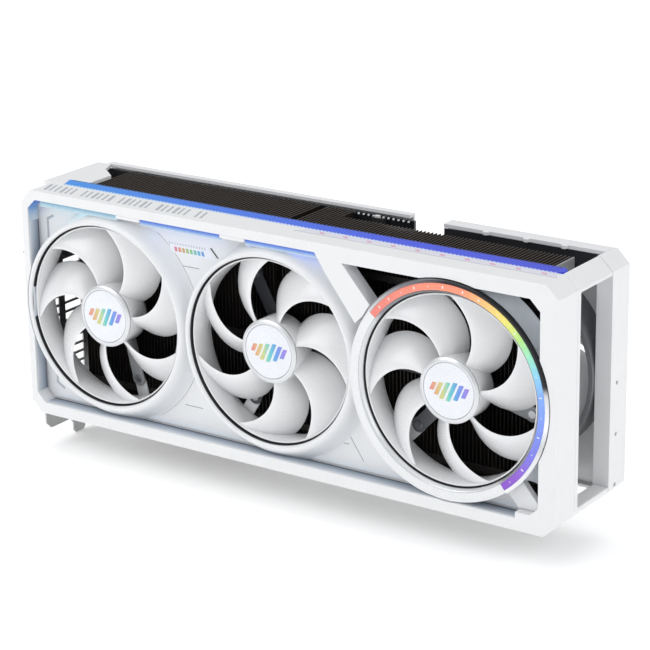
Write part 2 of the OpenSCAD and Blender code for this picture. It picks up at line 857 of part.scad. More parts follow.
module blade(hand) {
    n = blade_cols + 1;
    m = blade_rows + 1;
    front = [for (i = [0:blade_rows]) for (j = [0:blade_cols]) blade_point(i, j, -1, hand)];
    back = [for (i = [0:blade_rows]) for (j = [0:blade_cols]) blade_point(i, j, 1, hand)];
    b = n * m;
    quads = [
        for (i = [0:blade_rows - 1]) for (j = [0:blade_cols - 1]) each [
            [i * n + j, i * n + j + 1, (i + 1) * n + j + 1],
            [i * n + j, (i + 1) * n + j + 1, (i + 1) * n + j],
            [b + i * n + j, b + (i + 1) * n + j + 1, b + i * n + j + 1],
            [b + i * n + j, b + (i + 1) * n + j, b + (i + 1) * n + j + 1]
        ]
    ];
    ends = [
        for (j = [0:blade_cols - 1]) each [
            [j, b + j, b + j + 1], [j, b + j + 1, j + 1],
            [blade_rows * n + j, blade_rows * n + j + 1, b + blade_rows * n + j + 1],
            [blade_rows * n + j, b + blade_rows * n + j + 1, b + blade_rows * n + j]
        ]
    ];
    edges = [
        for (i = [0:blade_rows - 1]) each [
            [i * n, (i + 1) * n, b + (i + 1) * n], [i * n, b + (i + 1) * n, b + i * n],
            [i * n + n - 1, b + (i + 1) * n + n - 1, (i + 1) * n + n - 1],
            [i * n + n - 1, b + i * n + n - 1, b + (i + 1) * n + n - 1]
        ]
    ];
    faces = concat(quads, ends, edges);
    flipped = [for (f = faces) [f[0], f[2], f[1]]];
    polyhedron(points = concat(front, back), faces = hand > 0 ? flipped : faces);
}

// Hub cup, blades and rim of one rotor. hand is 1 where the tips sweep anticlockwise.
// The rear rotor draws air out through the back, so its blades face the other way.
module rotor(i, hand) {
    on_fan(i) {
        difference() {
            union() {
                disc(hub_r, hub_depth);
                tube(rotor_r - rim_t, rotor_r, rim_depth);
            }
            disc(hub_r - hub_wall, [hub_depth[0] + 1.8, hub_depth[1] + 1]);
        }
        difference() {
            disc(boss_r, [hub_depth[0] + 1.7, bearing_depth[0] - 0.6]);
            disc(shaft_r, [hub_depth[0] + 1.8, bearing_depth[0]]);
        }
        for (k = [0:blades - 1])
            rotate([0, 0, (i < 3 ? -1 : 1) * (blade_start[i] + k * 360 / blades)])
                if (i < 3) blade(hand);
                else translate([0, 0, blade_depth[0] + blade_depth[1]]) mirror([0, 0, 1]) blade(hand);
    }
}

module left_fan_rotor() { color("white") at_datum() rotor(0, 1); }
module center_fan_rotor() { color("white") at_datum() rotor(1, -1); }
module right_fan_rotor() { color("white") at_datum() rotor(2, 1); }
module rear_fan_rotor() { color("white") at_datum() rotor(3, 1); }

module hub_cap(i) {
    on_fan(i) rotate_extrude() polygon([
        [0, cap_depth[0]], [cap_r - cap_bevel, cap_depth[0]], [cap_r, cap_depth[0] + 0.8],
        [cap_r, cap_depth[1]], [0, cap_depth[1]]
    ]);
}

module left_hub_cap() { color("gainsboro") at_datum() hub_cap(0); }
module center_hub_cap() { color("gainsboro") at_datum() hub_cap(1); }
module right_hub_cap() { color("gainsboro") at_datum() hub_cap(2); }
module rear_hub_cap() { color("gainsboro") at_datum() hub_cap(3); }

module shaft(i) {
    on_fan(i) disc(shaft_r, [hub_depth[0] + 1.8, bearing_depth[1] - 0.7]);
}

module left_fan_shaft() { color("silver") at_datum() shaft(0); }
module center_fan_shaft() { color("silver") at_datum() shaft(1); }
module right_fan_shaft() { color("silver") at_datum() shaft(2); }
module rear_fan_shaft() { color("silver") at_datum() shaft(3); }

foot_w = 10.19;
foot_z = bracket_top - bracket_h;
shoulder_z = -16;
flange_l = 11.43;
notch_r = 2.21;

// Slots that let warm air out beside the video ports.
module bracket_vents() {
    for (i = [1, 2]) for (z = [8:5.6:86])
        translate([slot_y[i] - 7.4, z]) square([14.8, 4.2]);
}

module io_bracket() {
    y0 = slot_y[2] - slot_w / 2;
    y1 = slot_y[0] + slot_w / 2;
    color("lightgray") at_datum() {
        difference() {
            union() {
                translate([-bracket_t, 0, 0]) rotate([90, 0, 90]) linear_extrude(bracket_t)
                    difference() {
                        union() {
                            polygon([
                                [y0, shoulder_z + 4], [y0 + 4, shoulder_z], [y1, shoulder_z],
                                [y1, bracket_top], [y0, bracket_top]
                            ]);
                            for (i = [0, 1]) polygon([
                                [slot_y[i] - slot_w / 2 + 0.8, shoulder_z + 1],
                                [slot_y[i] - foot_w / 2, shoulder_z - 3.7],
                                [slot_y[i] - foot_w / 2, foot_z + 1.5],
                                [slot_y[i] - foot_w / 2 + 1.5, foot_z],
                                [slot_y[i] + foot_w / 2 - 1.5, foot_z],
                                [slot_y[i] + foot_w / 2, foot_z + 1.5],
                                [slot_y[i] + foot_w / 2, shoulder_z - 3.7],
                                [slot_y[i] + slot_w / 2 - 0.8, shoulder_z + 1]
                            ]);
                        }
                        bracket_vents();
                        for (z = port_z) translate([board_y - port_size[1] - 0.2, z - 8.15])
                            square([port_size[1] + 0.2, 16.3]);
                    }
                box([-flange_l, y0, bracket_top - bracket_t], [0, y1, bracket_top]);
            }
            for (y = slot_y) {
                translate([-flange_l + 4.5, y - 3.4, bracket_top - 2]) cylinder(r = notch_r, h = 4);
                translate([-flange_l - 1, y - 3.4 - notch_r, bracket_top - 2])
                    cube([5.5, 2 * notch_r, 4]);
            }
        }
        difference() {
            box([-eps, board_y - bracket_t, 1.9], [12, board_y, 8.1]);
            translate([9, 0, 5]) rotate([-90, 0, 0]) disc(back_screw_r, [board_y - 2, board_y + 1]);
        }
    }
}

module bracket_screws() {
    color("gray") at_datum() translate([9, 0, 5]) rotate([-90, 0, 0]) {
        disc(back_screw_r, [board_y - bracket_t, board_back + eps]);
        disc(2.6, [board_back, board_back + 1.6]);
    }
}

module backplate_screws() {
    color("gray") at_datum() for (p = back_screws) translate([p[0], 0, p[1]]) rotate([-90, 0, 0]) {
        disc(back_screw_r, [board_y - 0.5, card_t - 0.9 + eps]);
        disc(2.6, [card_t - 0.9, card_t - 0.1]);
    }
}

front_frame();
fan_shroud_panel();
right_ring_base();
right_ring_light();
right_ring_trim();
shroud_badge();
front_light_bars();
light_bar_clips();
top_left_cover();
top_light_diffuser();
top_light_board();
right_end_cap();
rear_end_block();
backplate();
rear_fan_cover();
rear_fan_frame();
circuit_board();
pcie_contacts();
gpu_package();
memory_chips();
power_stages();
chokes();
capacitors();
power_connector();
power_pins();
hdmi_ports();
displayport_ports();
bios_switch_body();
bios_switch_slider();
fan_headers();
thermal_pads();
vrm_plates();
vapor_chamber();
heat_pipes();
fin_stack_left();
fin_stack_right();
fin_end_plate();
left_fan_base();
center_fan_base();
right_fan_base();
rear_fan_base();
fan_stators();
fan_bearings();
fan_screws();
io_bracket();
bracket_screws();
backplate_screws();
left_fan_rotor();
center_fan_rotor();
right_fan_rotor();
rear_fan_rotor();
left_hub_cap();
center_hub_cap();
right_hub_cap();
rear_hub_cap();
left_fan_shaft();
center_fan_shaft();
right_fan_shaft();
rear_fan_shaft();
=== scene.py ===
import json
import math

import bmesh
import bpy
from mathutils import Matrix, Vector
from mathutils.geometry import tessellate_polygon


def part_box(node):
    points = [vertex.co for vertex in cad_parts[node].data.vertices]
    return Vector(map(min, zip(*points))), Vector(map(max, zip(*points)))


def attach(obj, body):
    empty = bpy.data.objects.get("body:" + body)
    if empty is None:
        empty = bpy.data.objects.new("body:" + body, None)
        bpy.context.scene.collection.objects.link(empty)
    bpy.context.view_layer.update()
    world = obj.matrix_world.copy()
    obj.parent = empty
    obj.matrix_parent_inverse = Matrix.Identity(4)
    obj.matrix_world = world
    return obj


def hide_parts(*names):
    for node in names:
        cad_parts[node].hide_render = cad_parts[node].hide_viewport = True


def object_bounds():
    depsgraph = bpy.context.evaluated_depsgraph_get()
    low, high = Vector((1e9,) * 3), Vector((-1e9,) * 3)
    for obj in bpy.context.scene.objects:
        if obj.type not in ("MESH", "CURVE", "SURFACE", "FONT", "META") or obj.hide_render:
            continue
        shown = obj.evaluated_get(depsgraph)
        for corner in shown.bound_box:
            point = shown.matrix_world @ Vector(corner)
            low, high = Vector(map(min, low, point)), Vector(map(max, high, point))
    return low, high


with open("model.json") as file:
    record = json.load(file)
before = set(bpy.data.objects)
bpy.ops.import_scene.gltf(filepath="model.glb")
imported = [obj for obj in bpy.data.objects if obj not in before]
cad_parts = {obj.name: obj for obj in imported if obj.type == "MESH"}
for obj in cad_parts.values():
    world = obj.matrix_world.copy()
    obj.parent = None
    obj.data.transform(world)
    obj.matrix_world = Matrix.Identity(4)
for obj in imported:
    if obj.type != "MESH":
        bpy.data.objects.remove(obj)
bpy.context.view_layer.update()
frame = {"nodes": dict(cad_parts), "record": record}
nodes = frame["nodes"]
scene = bpy.context.scene

# Everything below is drawn in millimetres from the shroud's lower left front corner:
# x along the card, y into it, z up. at() turns such a point into the shared frame.
MM = 0.001
shroud_lo, shroud_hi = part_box("front_frame")
origin = shroud_lo.copy()
CARD_H = (shroud_hi.z - shroud_lo.z) / MM
CARD_T = (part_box("rear_end_block")[1].y - origin.y) / MM


def at(x, y, z):
    return origin + Vector((x, y, z)) * MM


def middle(node):
    low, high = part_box(node)
    return ((low + high) / 2 - origin) / MM


FANS = {w: middle(w + "_fan_rotor") for w in ("left", "center", "right", "rear")}


# ---------------------------------------------------------------- materials
COAT_ROUGH, PLASTIC_IOR, GRAIN_DEPTH = 0.08, 1.5, 0.00005


def new_material(name):
    m = bpy.data.materials.new(name)
    m.use_nodes = True
    tree = m.node_tree
    return m, tree, tree.nodes["Principled BSDF"]


def noise(tree, scale, detail=3.0, stretch=(1, 1, 1), rough=0.55):
    coord = tree.nodes.new("ShaderNodeTexCoord")
    mapping = tree.nodes.new("ShaderNodeMapping")
    mapping.inputs["Scale"].default_value = stretch
    tree.links.new(coord.outputs["Object"], mapping.inputs["Vector"])
    n = tree.nodes.new("ShaderNodeTexNoise")
    n.inputs["Scale"].default_value = scale
    n.inputs["Detail"].default_value = detail
    n.inputs["Roughness"].default_value = rough
    tree.links.new(mapping.outputs["Vector"], n.inputs["Vector"])
    return n.outputs["Fac"]


def ramp(tree, fac, stops, interpolation="LINEAR"):
    r = tree.nodes.new("ShaderNodeValToRGB")
    r.color_ramp.interpolation = interpolation
    e = r.color_ramp.elements
    while len(e) < len(stops):
        e.new(0.5)
    for i, (p, c) in enumerate(stops):
        e[i].position = p
        e[i].color = (*c[:3], 1)
    tree.links.new(fac, r.inputs["Fac"])
    return r.outputs["Color"]


def remap(tree, value, a, b):
    """0 to 1 while value runs from a to b."""
    return remap_to(tree, value, a, b, 0.0, 1.0)


def remap_to(tree, value, a, b, c, d):
    """c to d while value runs from a to b."""
    n = tree.nodes.new("ShaderNodeMapRange")
    for i, v in enumerate((a, b, c, d)):
        n.inputs[i + 1].default_value = v
    tree.links.new(value, n.inputs[0])
    return n.outputs[0]


def shade(c, k):
    return tuple(min(1.0, max(0.0, x * k)) for x in c)


def finish_of(name, color, rough, metal=0.0, vary=0.03, scale=60.0, rough_vary=0.05,
              grain=0.05, grain_scale=1800.0, stretch=(1, 1, 1), coat=0.0, aniso=0.0):
    """A surface with mottled colour, uneven roughness and a fine grain."""
    m, t, b = new_material(name)
    broad = noise(t, scale, 4.0, stretch)
    t.links.new(ramp(t, broad, [(0.3, shade(color, 1 - vary)), (0.7, shade(color, 1 + vary))]),
                b.inputs["Base Color"])
    fine = noise(t, grain_scale, 3.0, stretch)
    t.links.new(remap_to(t, fine, 0.25, 0.75, rough - rough_vary, rough + rough_vary),
                b.inputs["Roughness"])
    bump = t.nodes.new("ShaderNodeBump")
    bump.inputs["Strength"].default_value = grain
    bump.inputs["Distance"].default_value = GRAIN_DEPTH
    t.links.new(fine, bump.inputs["Height"])
    t.links.new(bump.outputs["Normal"], b.inputs["Normal"])
    b.inputs["Metallic"].default_value = metal
    b.inputs["IOR"].default_value = PLASTIC_IOR
    if coat:
        b.inputs["Coat Weight"].default_value = coat
        b.inputs["Coat Roughness"].default_value = COAT_ROUGH
    if aniso:
        b.inputs["Anisotropic"].default_value = aniso
    return m


def rgb(r, g, b):
    """Screen colour, 0 to 255, as the linear colour a shader takes."""
    return tuple((c / 255 / 12.92) if c / 255 <= 0.04045 else ((c / 255 + 0.055) / 1.055) ** 2.4
                 for c in (r, g, b))


def object_xyz(tree):
    """The coordinates of the point that is shaded."""
    coord = tree.nodes.new("ShaderNodeTexCoord")
    split = tree.nodes.new("ShaderNodeSeparateXYZ")
    tree.links.new(coord.outputs["Object"], split.inputs[0])
    return split.outputs


def between(axis, a, b):
    """Makes a factor that runs from 0 to 1 between two places along X, Y or Z."""
    i = "XYZ".index(axis)
    ends = [at(v, v, v)[i] for v in (a, b)]
    return lambda tree: remap(tree, object_xyz(tree)[axis], *ends)


def minus(tree, value, number):
    n = tree.nodes.new("ShaderNodeMath")
    n.operation = "SUBTRACT"
    n.inputs[1].default_value = number
    tree.links.new(value, n.inputs[0])
    return n.outputs[0]


def round_angle(centre):
    """Makes a factor that runs from 0 to 1 round a fan's axis: it starts at the left side and
    goes anticlockwise, seen from the front."""
    c = at(*centre)

    def maker(tree):
        xyz = object_xyz(tree)
        angle = tree.nodes.new("ShaderNodeMath")
        angle.operation = "ARCTAN2"
        tree.links.new(minus(tree, xyz["Z"], c.z), angle.inputs[0])
        tree.links.new(minus(tree, xyz["X"], c.x), angle.inputs[1])
        return remap(tree, angle.outputs[0], -math.pi, math.pi)
    return maker


def multiply(tree, colour, other):
    """A colour times another, which is a socket or four numbers."""
    mix = tree.nodes.new("ShaderNodeMix")
    mix.data_type = "RGBA"
    mix.blend_type = "MULTIPLY"
    mix.inputs[0].default_value = 1.0
    tree.links.new(colour, mix.inputs[6])
    if isinstance(other, tuple):
        mix.inputs[7].default_value = other
    else:
        tree.links.new(other, mix.inputs[7])
    return mix.outputs[2]


def glow_of(name, fac_maker, stops, strength, rough=0.35, speck=0.12, body=0.5):
    """A lit surface: a colour that changes along the piece, with fine specks. body is how much
    of it shows without its own light."""
    m, t, b = new_material(name)
    colour = ramp(t, fac_maker(t), stops)
    specks = ramp(t, noise(t, 700.0, 2.0), [(0.3, (1 - speck,) * 3), (0.7, (1, 1, 1))])
    lit = multiply(t, colour, specks)
    t.links.new(multiply(t, lit, (body, body, body, 1)), b.inputs["Base Color"])
    t.links.new(lit, b.inputs["Emission Color"])
    b.inputs["Emission Strength"].default_value = strength
    b.inputs["Roughness"].default_value = rough
    return m


def recolour(m, fac_maker, stops):
    """Gives a finish a colour that changes along the piece."""
    tree = m.node_tree
    tree.links.new(ramp(tree, fac_maker(tree), stops),
                   tree.nodes["Principled BSDF"].inputs["Base Color"])
    return m


def turn(deg):
    """An angle from the right side, anticlockwise, as the factor round_angle gives there."""
    return (deg + 180.0) / 360.0


WHITE = (0.80, 0.805, 0.815)
MAT = {
    "white_shell": finish_of("white_shell", WHITE, 0.42, vary=0.012, grain=0.08),
    "white_panel": finish_of("white_panel", (0.775, 0.785, 0.80), 0.38, vary=0.015, grain=0.06),
    "white_ring": finish_of("white_ring", (0.79, 0.797, 0.81), 0.28, vary=0.012, grain=0.03,
                            coat=0.3),
    "white_back": finish_of("white_back", WHITE, 0.36, vary=0.015, grain=0.12),
    "dark_chrome": finish_of("dark_chrome", (0.2, 0.21, 0.23), 0.16, metal=1.0, grain=0.02),
    "badge": finish_of("badge", (0.8, 0.81, 0.86), 0.35, vary=0.02),
    "dark_board": finish_of("dark_board", (0.012, 0.014, 0.017), 0.35, vary=0.3, coat=0.3,
                            grain=0.15, grain_scale=900.0),
    "gold": finish_of("gold", (0.85, 0.62, 0.26), 0.25, metal=1.0, vary=0.06),
    "silicon": finish_of("silicon", (0.06, 0.09, 0.075), 0.2, vary=0.1, coat=0.4),
    "black_chip": finish_of("black_chip", (0.018, 0.018, 0.02), 0.5, vary=0.2),
    "choke_metal": finish_of("choke_metal", (0.16, 0.165, 0.175), 0.5, metal=0.6, vary=0.15,
                             scale=500.0, grain=0.3),
    "can_metal": finish_of("can_metal", (0.72, 0.73, 0.75), 0.28, metal=1.0, vary=0.05),
    "black_plastic": finish_of("black_plastic", (0.02, 0.02, 0.022), 0.45, vary=0.15),
    "switch_white": finish_of("switch_white", (0.8, 0.8, 0.8), 0.4),
    "ivory_plastic": finish_of("ivory_plastic", (0.7, 0.66, 0.54), 0.45),
    "port_steel": finish_of("port_steel", (0.6, 0.61, 0.62), 0.3, metal=1.0, vary=0.06),
    "pad_rubber": finish_of("pad_rubber", (0.55, 0.38, 0.42), 0.8, vary=0.06, scale=400.0),
    "plate_aluminium": finish_of("plate_aluminium", (0.66, 0.67, 0.69), 0.35, metal=1.0,
                                 stretch=(1, 1, 12)),
    "copper": finish_of("copper", (0.78, 0.42, 0.27), 0.3, metal=1.0, vary=0.08, scale=90.0),
    "end_plate_metal": finish_of("end_plate_metal", (0.42, 0.42, 0.43), 0.4, metal=0.7,
                                 stretch=(1, 14, 1), vary=0.1),
    "dark_plastic": finish_of("dark_plastic", (0.06, 0.064, 0.072), 0.42, vary=0.1),
    "winding_copper": finish_of("winding_copper", (0.5, 0.19, 0.08), 0.35, metal=0.8,
                                stretch=(1, 20, 1), vary=0.2, scale=400.0),
    "bearing_brass": finish_of("bearing_brass", (0.72, 0.55, 0.26), 0.3, metal=1.0),
    "screw_steel": finish_of("screw_steel", (0.42, 0.43, 0.45), 0.3, metal=1.0, vary=0.08),
    "bracket_steel": finish_of("bracket_steel", (0.5, 0.5, 0.5), 0.33, metal=1.0,
                               stretch=(1, 1, 18), vary=0.06, scale=120.0, aniso=0.4),
    "white_rotor": finish_of("white_rotor", WHITE, 0.26, vary=0.012, grain=0.02,
                             coat=0.25),
    "hub_cap_silver": finish_of("hub_cap_silver", (0.78, 0.80, 0.84), 0.3, metal=0.25,
                                vary=0.03, grain=0.03, coat=0.3),
    "shaft_steel": finish_of("shaft_steel", (0.7, 0.71, 0.73), 0.2, metal=1.0, aniso=0.5),
    "chrome": finish_of("chrome", (0.70, 0.71, 0.73), 0.3, metal=0.45, vary=0.01,
                        rough_vary=0.02, grain=0.0, coat=0.4),
    "gap_black": finish_of("gap_black", (0.02, 0.021, 0.024), 0.35, vary=0.2),
    "ring_bevel": finish_of("ring_bevel", (0.30, 0.31, 0.33), 0.24, metal=0.25, vary=0.04,
                            grain=0.02),
    "flare_grey": finish_of("flare_grey", (0.50, 0.54, 0.58), 0.36, vary=0.03, scale=40.0),
    "frame_grey": finish_of("frame_grey", (0.17, 0.175, 0.185), 0.38, vary=0.08),
    "arm_light": finish_of("arm_light", (0.34, 0.35, 0.36), 0.35, vary=0.06, metal=0.2),
    "arm_grey": finish_of("arm_grey", (0.22, 0.23, 0.24), 0.32, vary=0.08, metal=0.5),
    "seam_grey": finish_of("seam_grey", (0.30, 0.31, 0.32), 0.5, vary=0.05),
    "strip_blue": finish_of("strip_blue", rgb(228, 233, 238), 0.3, vary=0.01),
    "inlay_lavender": finish_of("inlay_lavender", (0.72, 0.72, 0.80), 0.3, vary=0.02),
    "mark_pink": finish_of("mark_pink", (0.72, 0.34, 0.52), 0.4),
    "print_grey": finish_of("print_grey", rgb(176, 181, 188), 0.4, vary=0.03),
    "tick_white": finish_of("tick_white", (0.86, 0.88, 0.9), 0.4),
    "tick_dark": finish_of("tick_dark", (0.02, 0.02, 0.05), 0.4),
}
RING_STOPS = [
    (turn(-53), rgb(134, 74, 196)), (turn(-40), rgb(140, 92, 205)),
    (turn(-27), rgb(122, 118, 222)), (turn(-15), rgb(120, 140, 232)),
    (turn(8), rgb(128, 168, 242)), (turn(20), rgb(138, 208, 236)),
    (turn(30), rgb(150, 226, 190)), (turn(40), rgb(178, 226, 130)),
    (turn(52), rgb(236, 226, 118)), (turn(64), rgb(250, 198, 122)),
    (turn(80), rgb(250, 150, 118)), (turn(143), rgb(232, 128, 118)),
]
# Painted reflections on the dark chrome trim round the lit arc: pale on the lower right, near
# black from the right to the top, and grey again towards its upper left end.
TRIM_REFLECTION_STOPS = [
    (turn(-53), (0.8, 0.8, 0.82)), (turn(-24), (0.7, 0.7, 0.72)),
    (turn(-19), (0.55, 0.56, 0.58)), (turn(-6), (0.85, 0.86, 0.88)),
    (turn(9), (0.6, 0.61, 0.63)), (turn(13), (0.03, 0.03, 0.035)),
    (turn(90), (0.022, 0.022, 0.025)), (turn(118), (0.2, 0.2, 0.22)),
    (turn(143), (0.6, 0.6, 0.62)),
]
# The ring's inner bevel: pale along the plain part of the ring, grey along the lit arc, and
# darkest over the top, where it faces down; that darkening is painted shade.
BEVEL_STOPS = [
    (turn(-56), (0.74, 0.75, 0.77)), (turn(-50), (0.36, 0.37, 0.40)),
    (turn(20), (0.26, 0.27, 0.30)), (turn(90), (0.12, 0.12, 0.13)),
    (turn(138), (0.30, 0.30, 0.32)), (turn(146), (0.74, 0.75, 0.77)),
]
round_right = round_angle(FANS["right"])
MAT["ring_light"] = glow_of("ring_light", round_right, RING_STOPS, 0.64)
MAT["top_light"] = glow_of("top_light", between("X", 12, 345), [
    (0.0, rgb(40, 146, 240)), (0.35, rgb(44, 116, 238)), (0.7, rgb(48, 78, 234)),
    (1.0, rgb(48, 68, 220))], 0.6, body=0.3)
MAT["comb_light"] = glow_of("comb_light", between("X", 12, 345), [
    (0.0, rgb(190, 236, 255)), (0.4, rgb(200, 224, 255)), (1.0, rgb(196, 206, 250))], 0.4)
MAT["bar_light"] = glow_of("bar_light", between("Z", 127.0, 130.9), [
    (0.0, rgb(226, 234, 240)), (0.3, rgb(176, 200, 232)), (0.6, rgb(112, 150, 226)),
    (0.9, rgb(70, 112, 216)), (1.0, rgb(64, 104, 214))], 0.5)
MAT["bar_pale"] = glow_of("bar_pale", between("Z", 126.6, 130.9), [
    (0.0, rgb(228, 236, 240)), (0.5, rgb(178, 212, 228)), (1.0, rgb(112, 166, 200))], 0.45)
# Painted light: the front bars' blue light on the top left inner walls, deep blue at the top and
# paler lower down, made to glow though the walls are no lamp.
MAT["wall_glow"] = glow_of("wall_glow", between("Z", 117, 130), [
    (0.0, rgb(206, 214, 224)), (0.35, rgb(176, 200, 226)), (0.75, rgb(96, 150, 220)),
    (1.0, rgb(46, 104, 206))], 0.3, body=0.6)
# Painted shade on the frame's inner walls: near white at the front, greyer going in, and darkest
# at the back, where the wall meets the panel.
MAT["ledge"] = recolour(
    finish_of("ledge", (0.7, 0.7, 0.7), 0.35), between("Y", 0.4, 9.4), [
        (0.0, rgb(224, 228, 232)), (0.25, rgb(190, 198, 208)), (0.8, rgb(140, 152, 168)),
        (0.92, rgb(70, 80, 96)), (1.0, rgb(44, 54, 70))])
# Painted light: the fins are lighter at their top edges only, where light from the strip falls on
# them.
MAT["fin_metal"] = recolour(
    finish_of("fin_metal", (0.045, 0.04, 0.036), 0.42, metal=0.3, vary=0.25, grain=0.1),
    between("Z", 133.6, 134.7), [
        (0.0, (0.022, 0.019, 0.017)), (0.75, (0.03, 0.026, 0.023)),
        (0.9, (0.095, 0.078, 0.066)), (1.0, (0.13, 0.105, 0.088))])
MAT["ring_trim"] = recolour(
    finish_of("ring_trim", (0.2, 0.21, 0.23), 0.2, metal=0.7, grain=0.02),
    round_right, TRIM_REFLECTION_STOPS)
recolour(MAT["ring_bevel"], round_right, BEVEL_STOPS)


def stripes_of(name, centre, half):
    """Printed stripes whose colour runs across the cap, made to glow: painted light."""
    return glow_of(name, between("X", centre[0] - half, centre[0] + half), [
        (0.0, rgb(250, 140, 160)), (0.18, rgb(246, 190, 140)), (0.36, rgb(226, 232, 150)),
        (0.52, rgb(120, 226, 220)), (0.72, rgb(110, 170, 250)), (1.0, rgb(178, 140, 246))],
        0.35, rough=0.3)


record_slot = {}
for part in frame["record"].get("subparts", []) or []:
    if "node" in part:
        record_slot[part["node"]] = part.get("material_slot")


def paint(o, material):
    if len(o.data.materials) == 0:
        o.data.materials.append(material)
    for i in range(len(o.data.materials)):
        o.data.materials[i] = material


def bevel_mod(o, width, angle=35):
    """Rounds the edges that are sharper than angle."""
    m = o.modifiers.new("bevel", "BEVEL")
    m.width = width * MM
    m.segments = 2
    m.limit_method = "ANGLE"
    m.angle_limit = math.radians(angle)
    m.miter_outer = "MITER_ARC"
    m = o.modifiers.new("normals", "WEIGHTED_NORMAL")
    m.keep_sharp = True
    return o


def soften(name, width):
    """Rounds a CAD node's edges with modifiers only."""
    o = nodes[name]
    m = o.modifiers.new("weld", "WELD")
    m.merge_threshold = 2e-6
    m = o.modifiers.new("flat", "DECIMATE")
    m.decimate_type = "DISSOLVE"
    m.angle_limit = math.radians(0.6)
    bevel_mod(o, width, 33)


# ---------------------------------------------------------------- mesh tools
def make_object(name, bm, material, body="card", replaces=(), sharp=38):
    bmesh.ops.recalc_face_normals(bm, faces=bm.faces)
    me = bpy.data.meshes.new(name)
    bm.to_mesh(me)
    bm.free()
    for p in me.polygons:
        p.use_smooth = True
    me.set_sharp_from_angle(angle=math.radians(sharp))
    me.materials.append(material)
    o = bpy.data.objects.new(name, me)
    scene.collection.objects.link(o)
    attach(o, body)
    if replaces:
        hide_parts(*replaces)
    return o


def revolve(bm, profile, fan, face=0.0, sign=1, seg=192, arc=None):
    """Turns a closed profile of (radius, depth) round a fan's axis, all the way or over an arc
    of two angles, in degrees."""
    full = arc is None
    a0, a1 = (0.0, 360.0) if full else arc
    count = seg if full else max(8, int(seg * (a1 - a0) / 360.0))
    steps = count if full else count + 1
    rings = []
    for k in range(steps):
        a = math.radians(a0 + (a1 - a0) * k / count)
        ring = []
        for r, d in profile:
            if r < 1e-6 and rings:
                ring.append(rings[0][len(ring)])
                continue
            ring.append(bm.verts.new(at(fan[0] + r * math.cos(a), face + sign * d,
                                        fan[2] + r * math.sin(a))))
        rings.append(ring)
    n = len(profile)
    for k in range(count):
        p, q = rings[k], rings[(k + 1) % steps]
        for i in range(n):
            j = (i + 1) % n
            corners = []
            for v in (p[i], p[j], q[j], q[i]):
                if v not in corners:
                    corners.append(v)
            if len(corners) > 2:
                bm.faces.new(corners)
    if not full:
        bm.faces.new(rings[0])
        bm.faces.new(list(reversed(rings[-1])))


def rounded(points, radius, steps=4):
    """A polygon with its corners rounded, by one radius or one for each corner."""
    n = len(points)
    out = []
    for i, p in enumerate(points):
        r = radius[i] if isinstance(radius, (list, tuple)) else radius
        a, b, c = Vector(points[i - 1]), Vector(p), Vector(points[(i + 1) % n])
        u, v = (a - b), (c - b)
        if r <= 0 or u.length < 1e-9 or v.length < 1e-9:
            out.append(tuple(b))
            continue
        angle = u.angle(v)
        if angle > math.pi - 0.02:
            out.append(tuple(b))
            continue
        cut = min(r / math.tan(angle / 2), u.length * 0.49, v.length * 0.49)
        rr = cut * math.tan(angle / 2)
        s, e = b + u.normalized() * cut, b + v.normalized() * cut
        mid = b + (u.normalized() + v.normalized()).normalized() * (rr / math.sin(angle / 2))
        t0, t1 = s - mid, e - mid
        sweep = t0.angle_signed(t1) if t0.length > 1e-9 else 0.0
        for k in range(steps + 1):
            f = k / steps
            rot = Matrix.Rotation(-sweep * f, 2)
            out.append(tuple(mid + rot @ t0))
    return out


def prism(bm, loops, lo, hi, axis="y"):
    """A flat outline with holes, given a thickness along y or z. Loops are lists of pairs."""
    def place(u, v, w):
        if axis == "y":
            return at(u, w, v)
        return at(u, v, w)
    flat = [p for loop in loops for p in loop]
    low = [bm.verts.new(place(u, v, lo)) for u, v in flat]
    high = [bm.verts.new(place(u, v, hi)) for u, v in flat]
    for t in tessellate_polygon([[Vector((u, v, 0)) for u, v in loop] for loop in loops]):
        bm.faces.new([low[i] for i in t])
        bm.faces.new([high[i] for i in reversed(t)])
    start = 0
    for loop in loops:
        n = len(loop)
        for i in range(n):
            j = (i + 1) % n
            bm.faces.new([low[start + i], low[start + j], high[start + j], high[start + i]])
        start += n


def ring_points(fan, r, count=160):
    """A circle round a fan's axis."""
    turns = [math.radians(360.0 * k / count) for k in range(count)]
    return [(fan[0] + r * math.cos(a), fan[2] + r * math.sin(a)) for a in turns]


def slab(name, loops, lo, hi, material, slot, axis="y", bevel=0.0, replaces=()):
    """Flat outlines of one thickness, as one piece of the card."""
    bm = bmesh.new()
    for loop in loops:
        prism(bm, [loop], lo, hi, axis)
    o = make_object(name, bm, MAT[material], "card", replaces)
    return bevel_mod(o, bevel) if bevel else o


def turned(name, profile, fan, material, seg=256, arc=None, replaces=(),
           sharp=38):
    """A closed profile turned round a fan's axis, as one piece of the card."""
    bm = bmesh.new()
    revolve(bm, profile, fan, 0.0, 1, seg, arc)
    return make_object(name, bm, MAT[material], "card", replaces, sharp)


# ---------------------------------------------------------------- CAD nodes
for name, o in nodes.items():
    slot = record_slot.get(name)
    if slot in MAT:
        paint(o, MAT[slot])

for name, width in {
    "front_frame": 0.7, "top_left_cover": 0.4, "right_end_cap": 0.6,
    "rear_end_block": 0.5, "backplate": 0.3, "rear_fan_cover": 0.3, "power_connector": 0.2,
    "light_bar_clips": 0.25, "fan_screws": 0.15, "vrm_plates": 0.3, "chokes": 0.5,
}.items():
    soften(name, width)

# The motor bases are alike; the left one is painted a lighter grey and the right one a darker
# grey: painted light and shade.
paint(nodes["left_fan_base"], MAT["arm_light"])
paint(nodes["rear_fan_frame"], MAT["frame_grey"])
paint(nodes["right_fan_base"], MAT["arm_grey"])

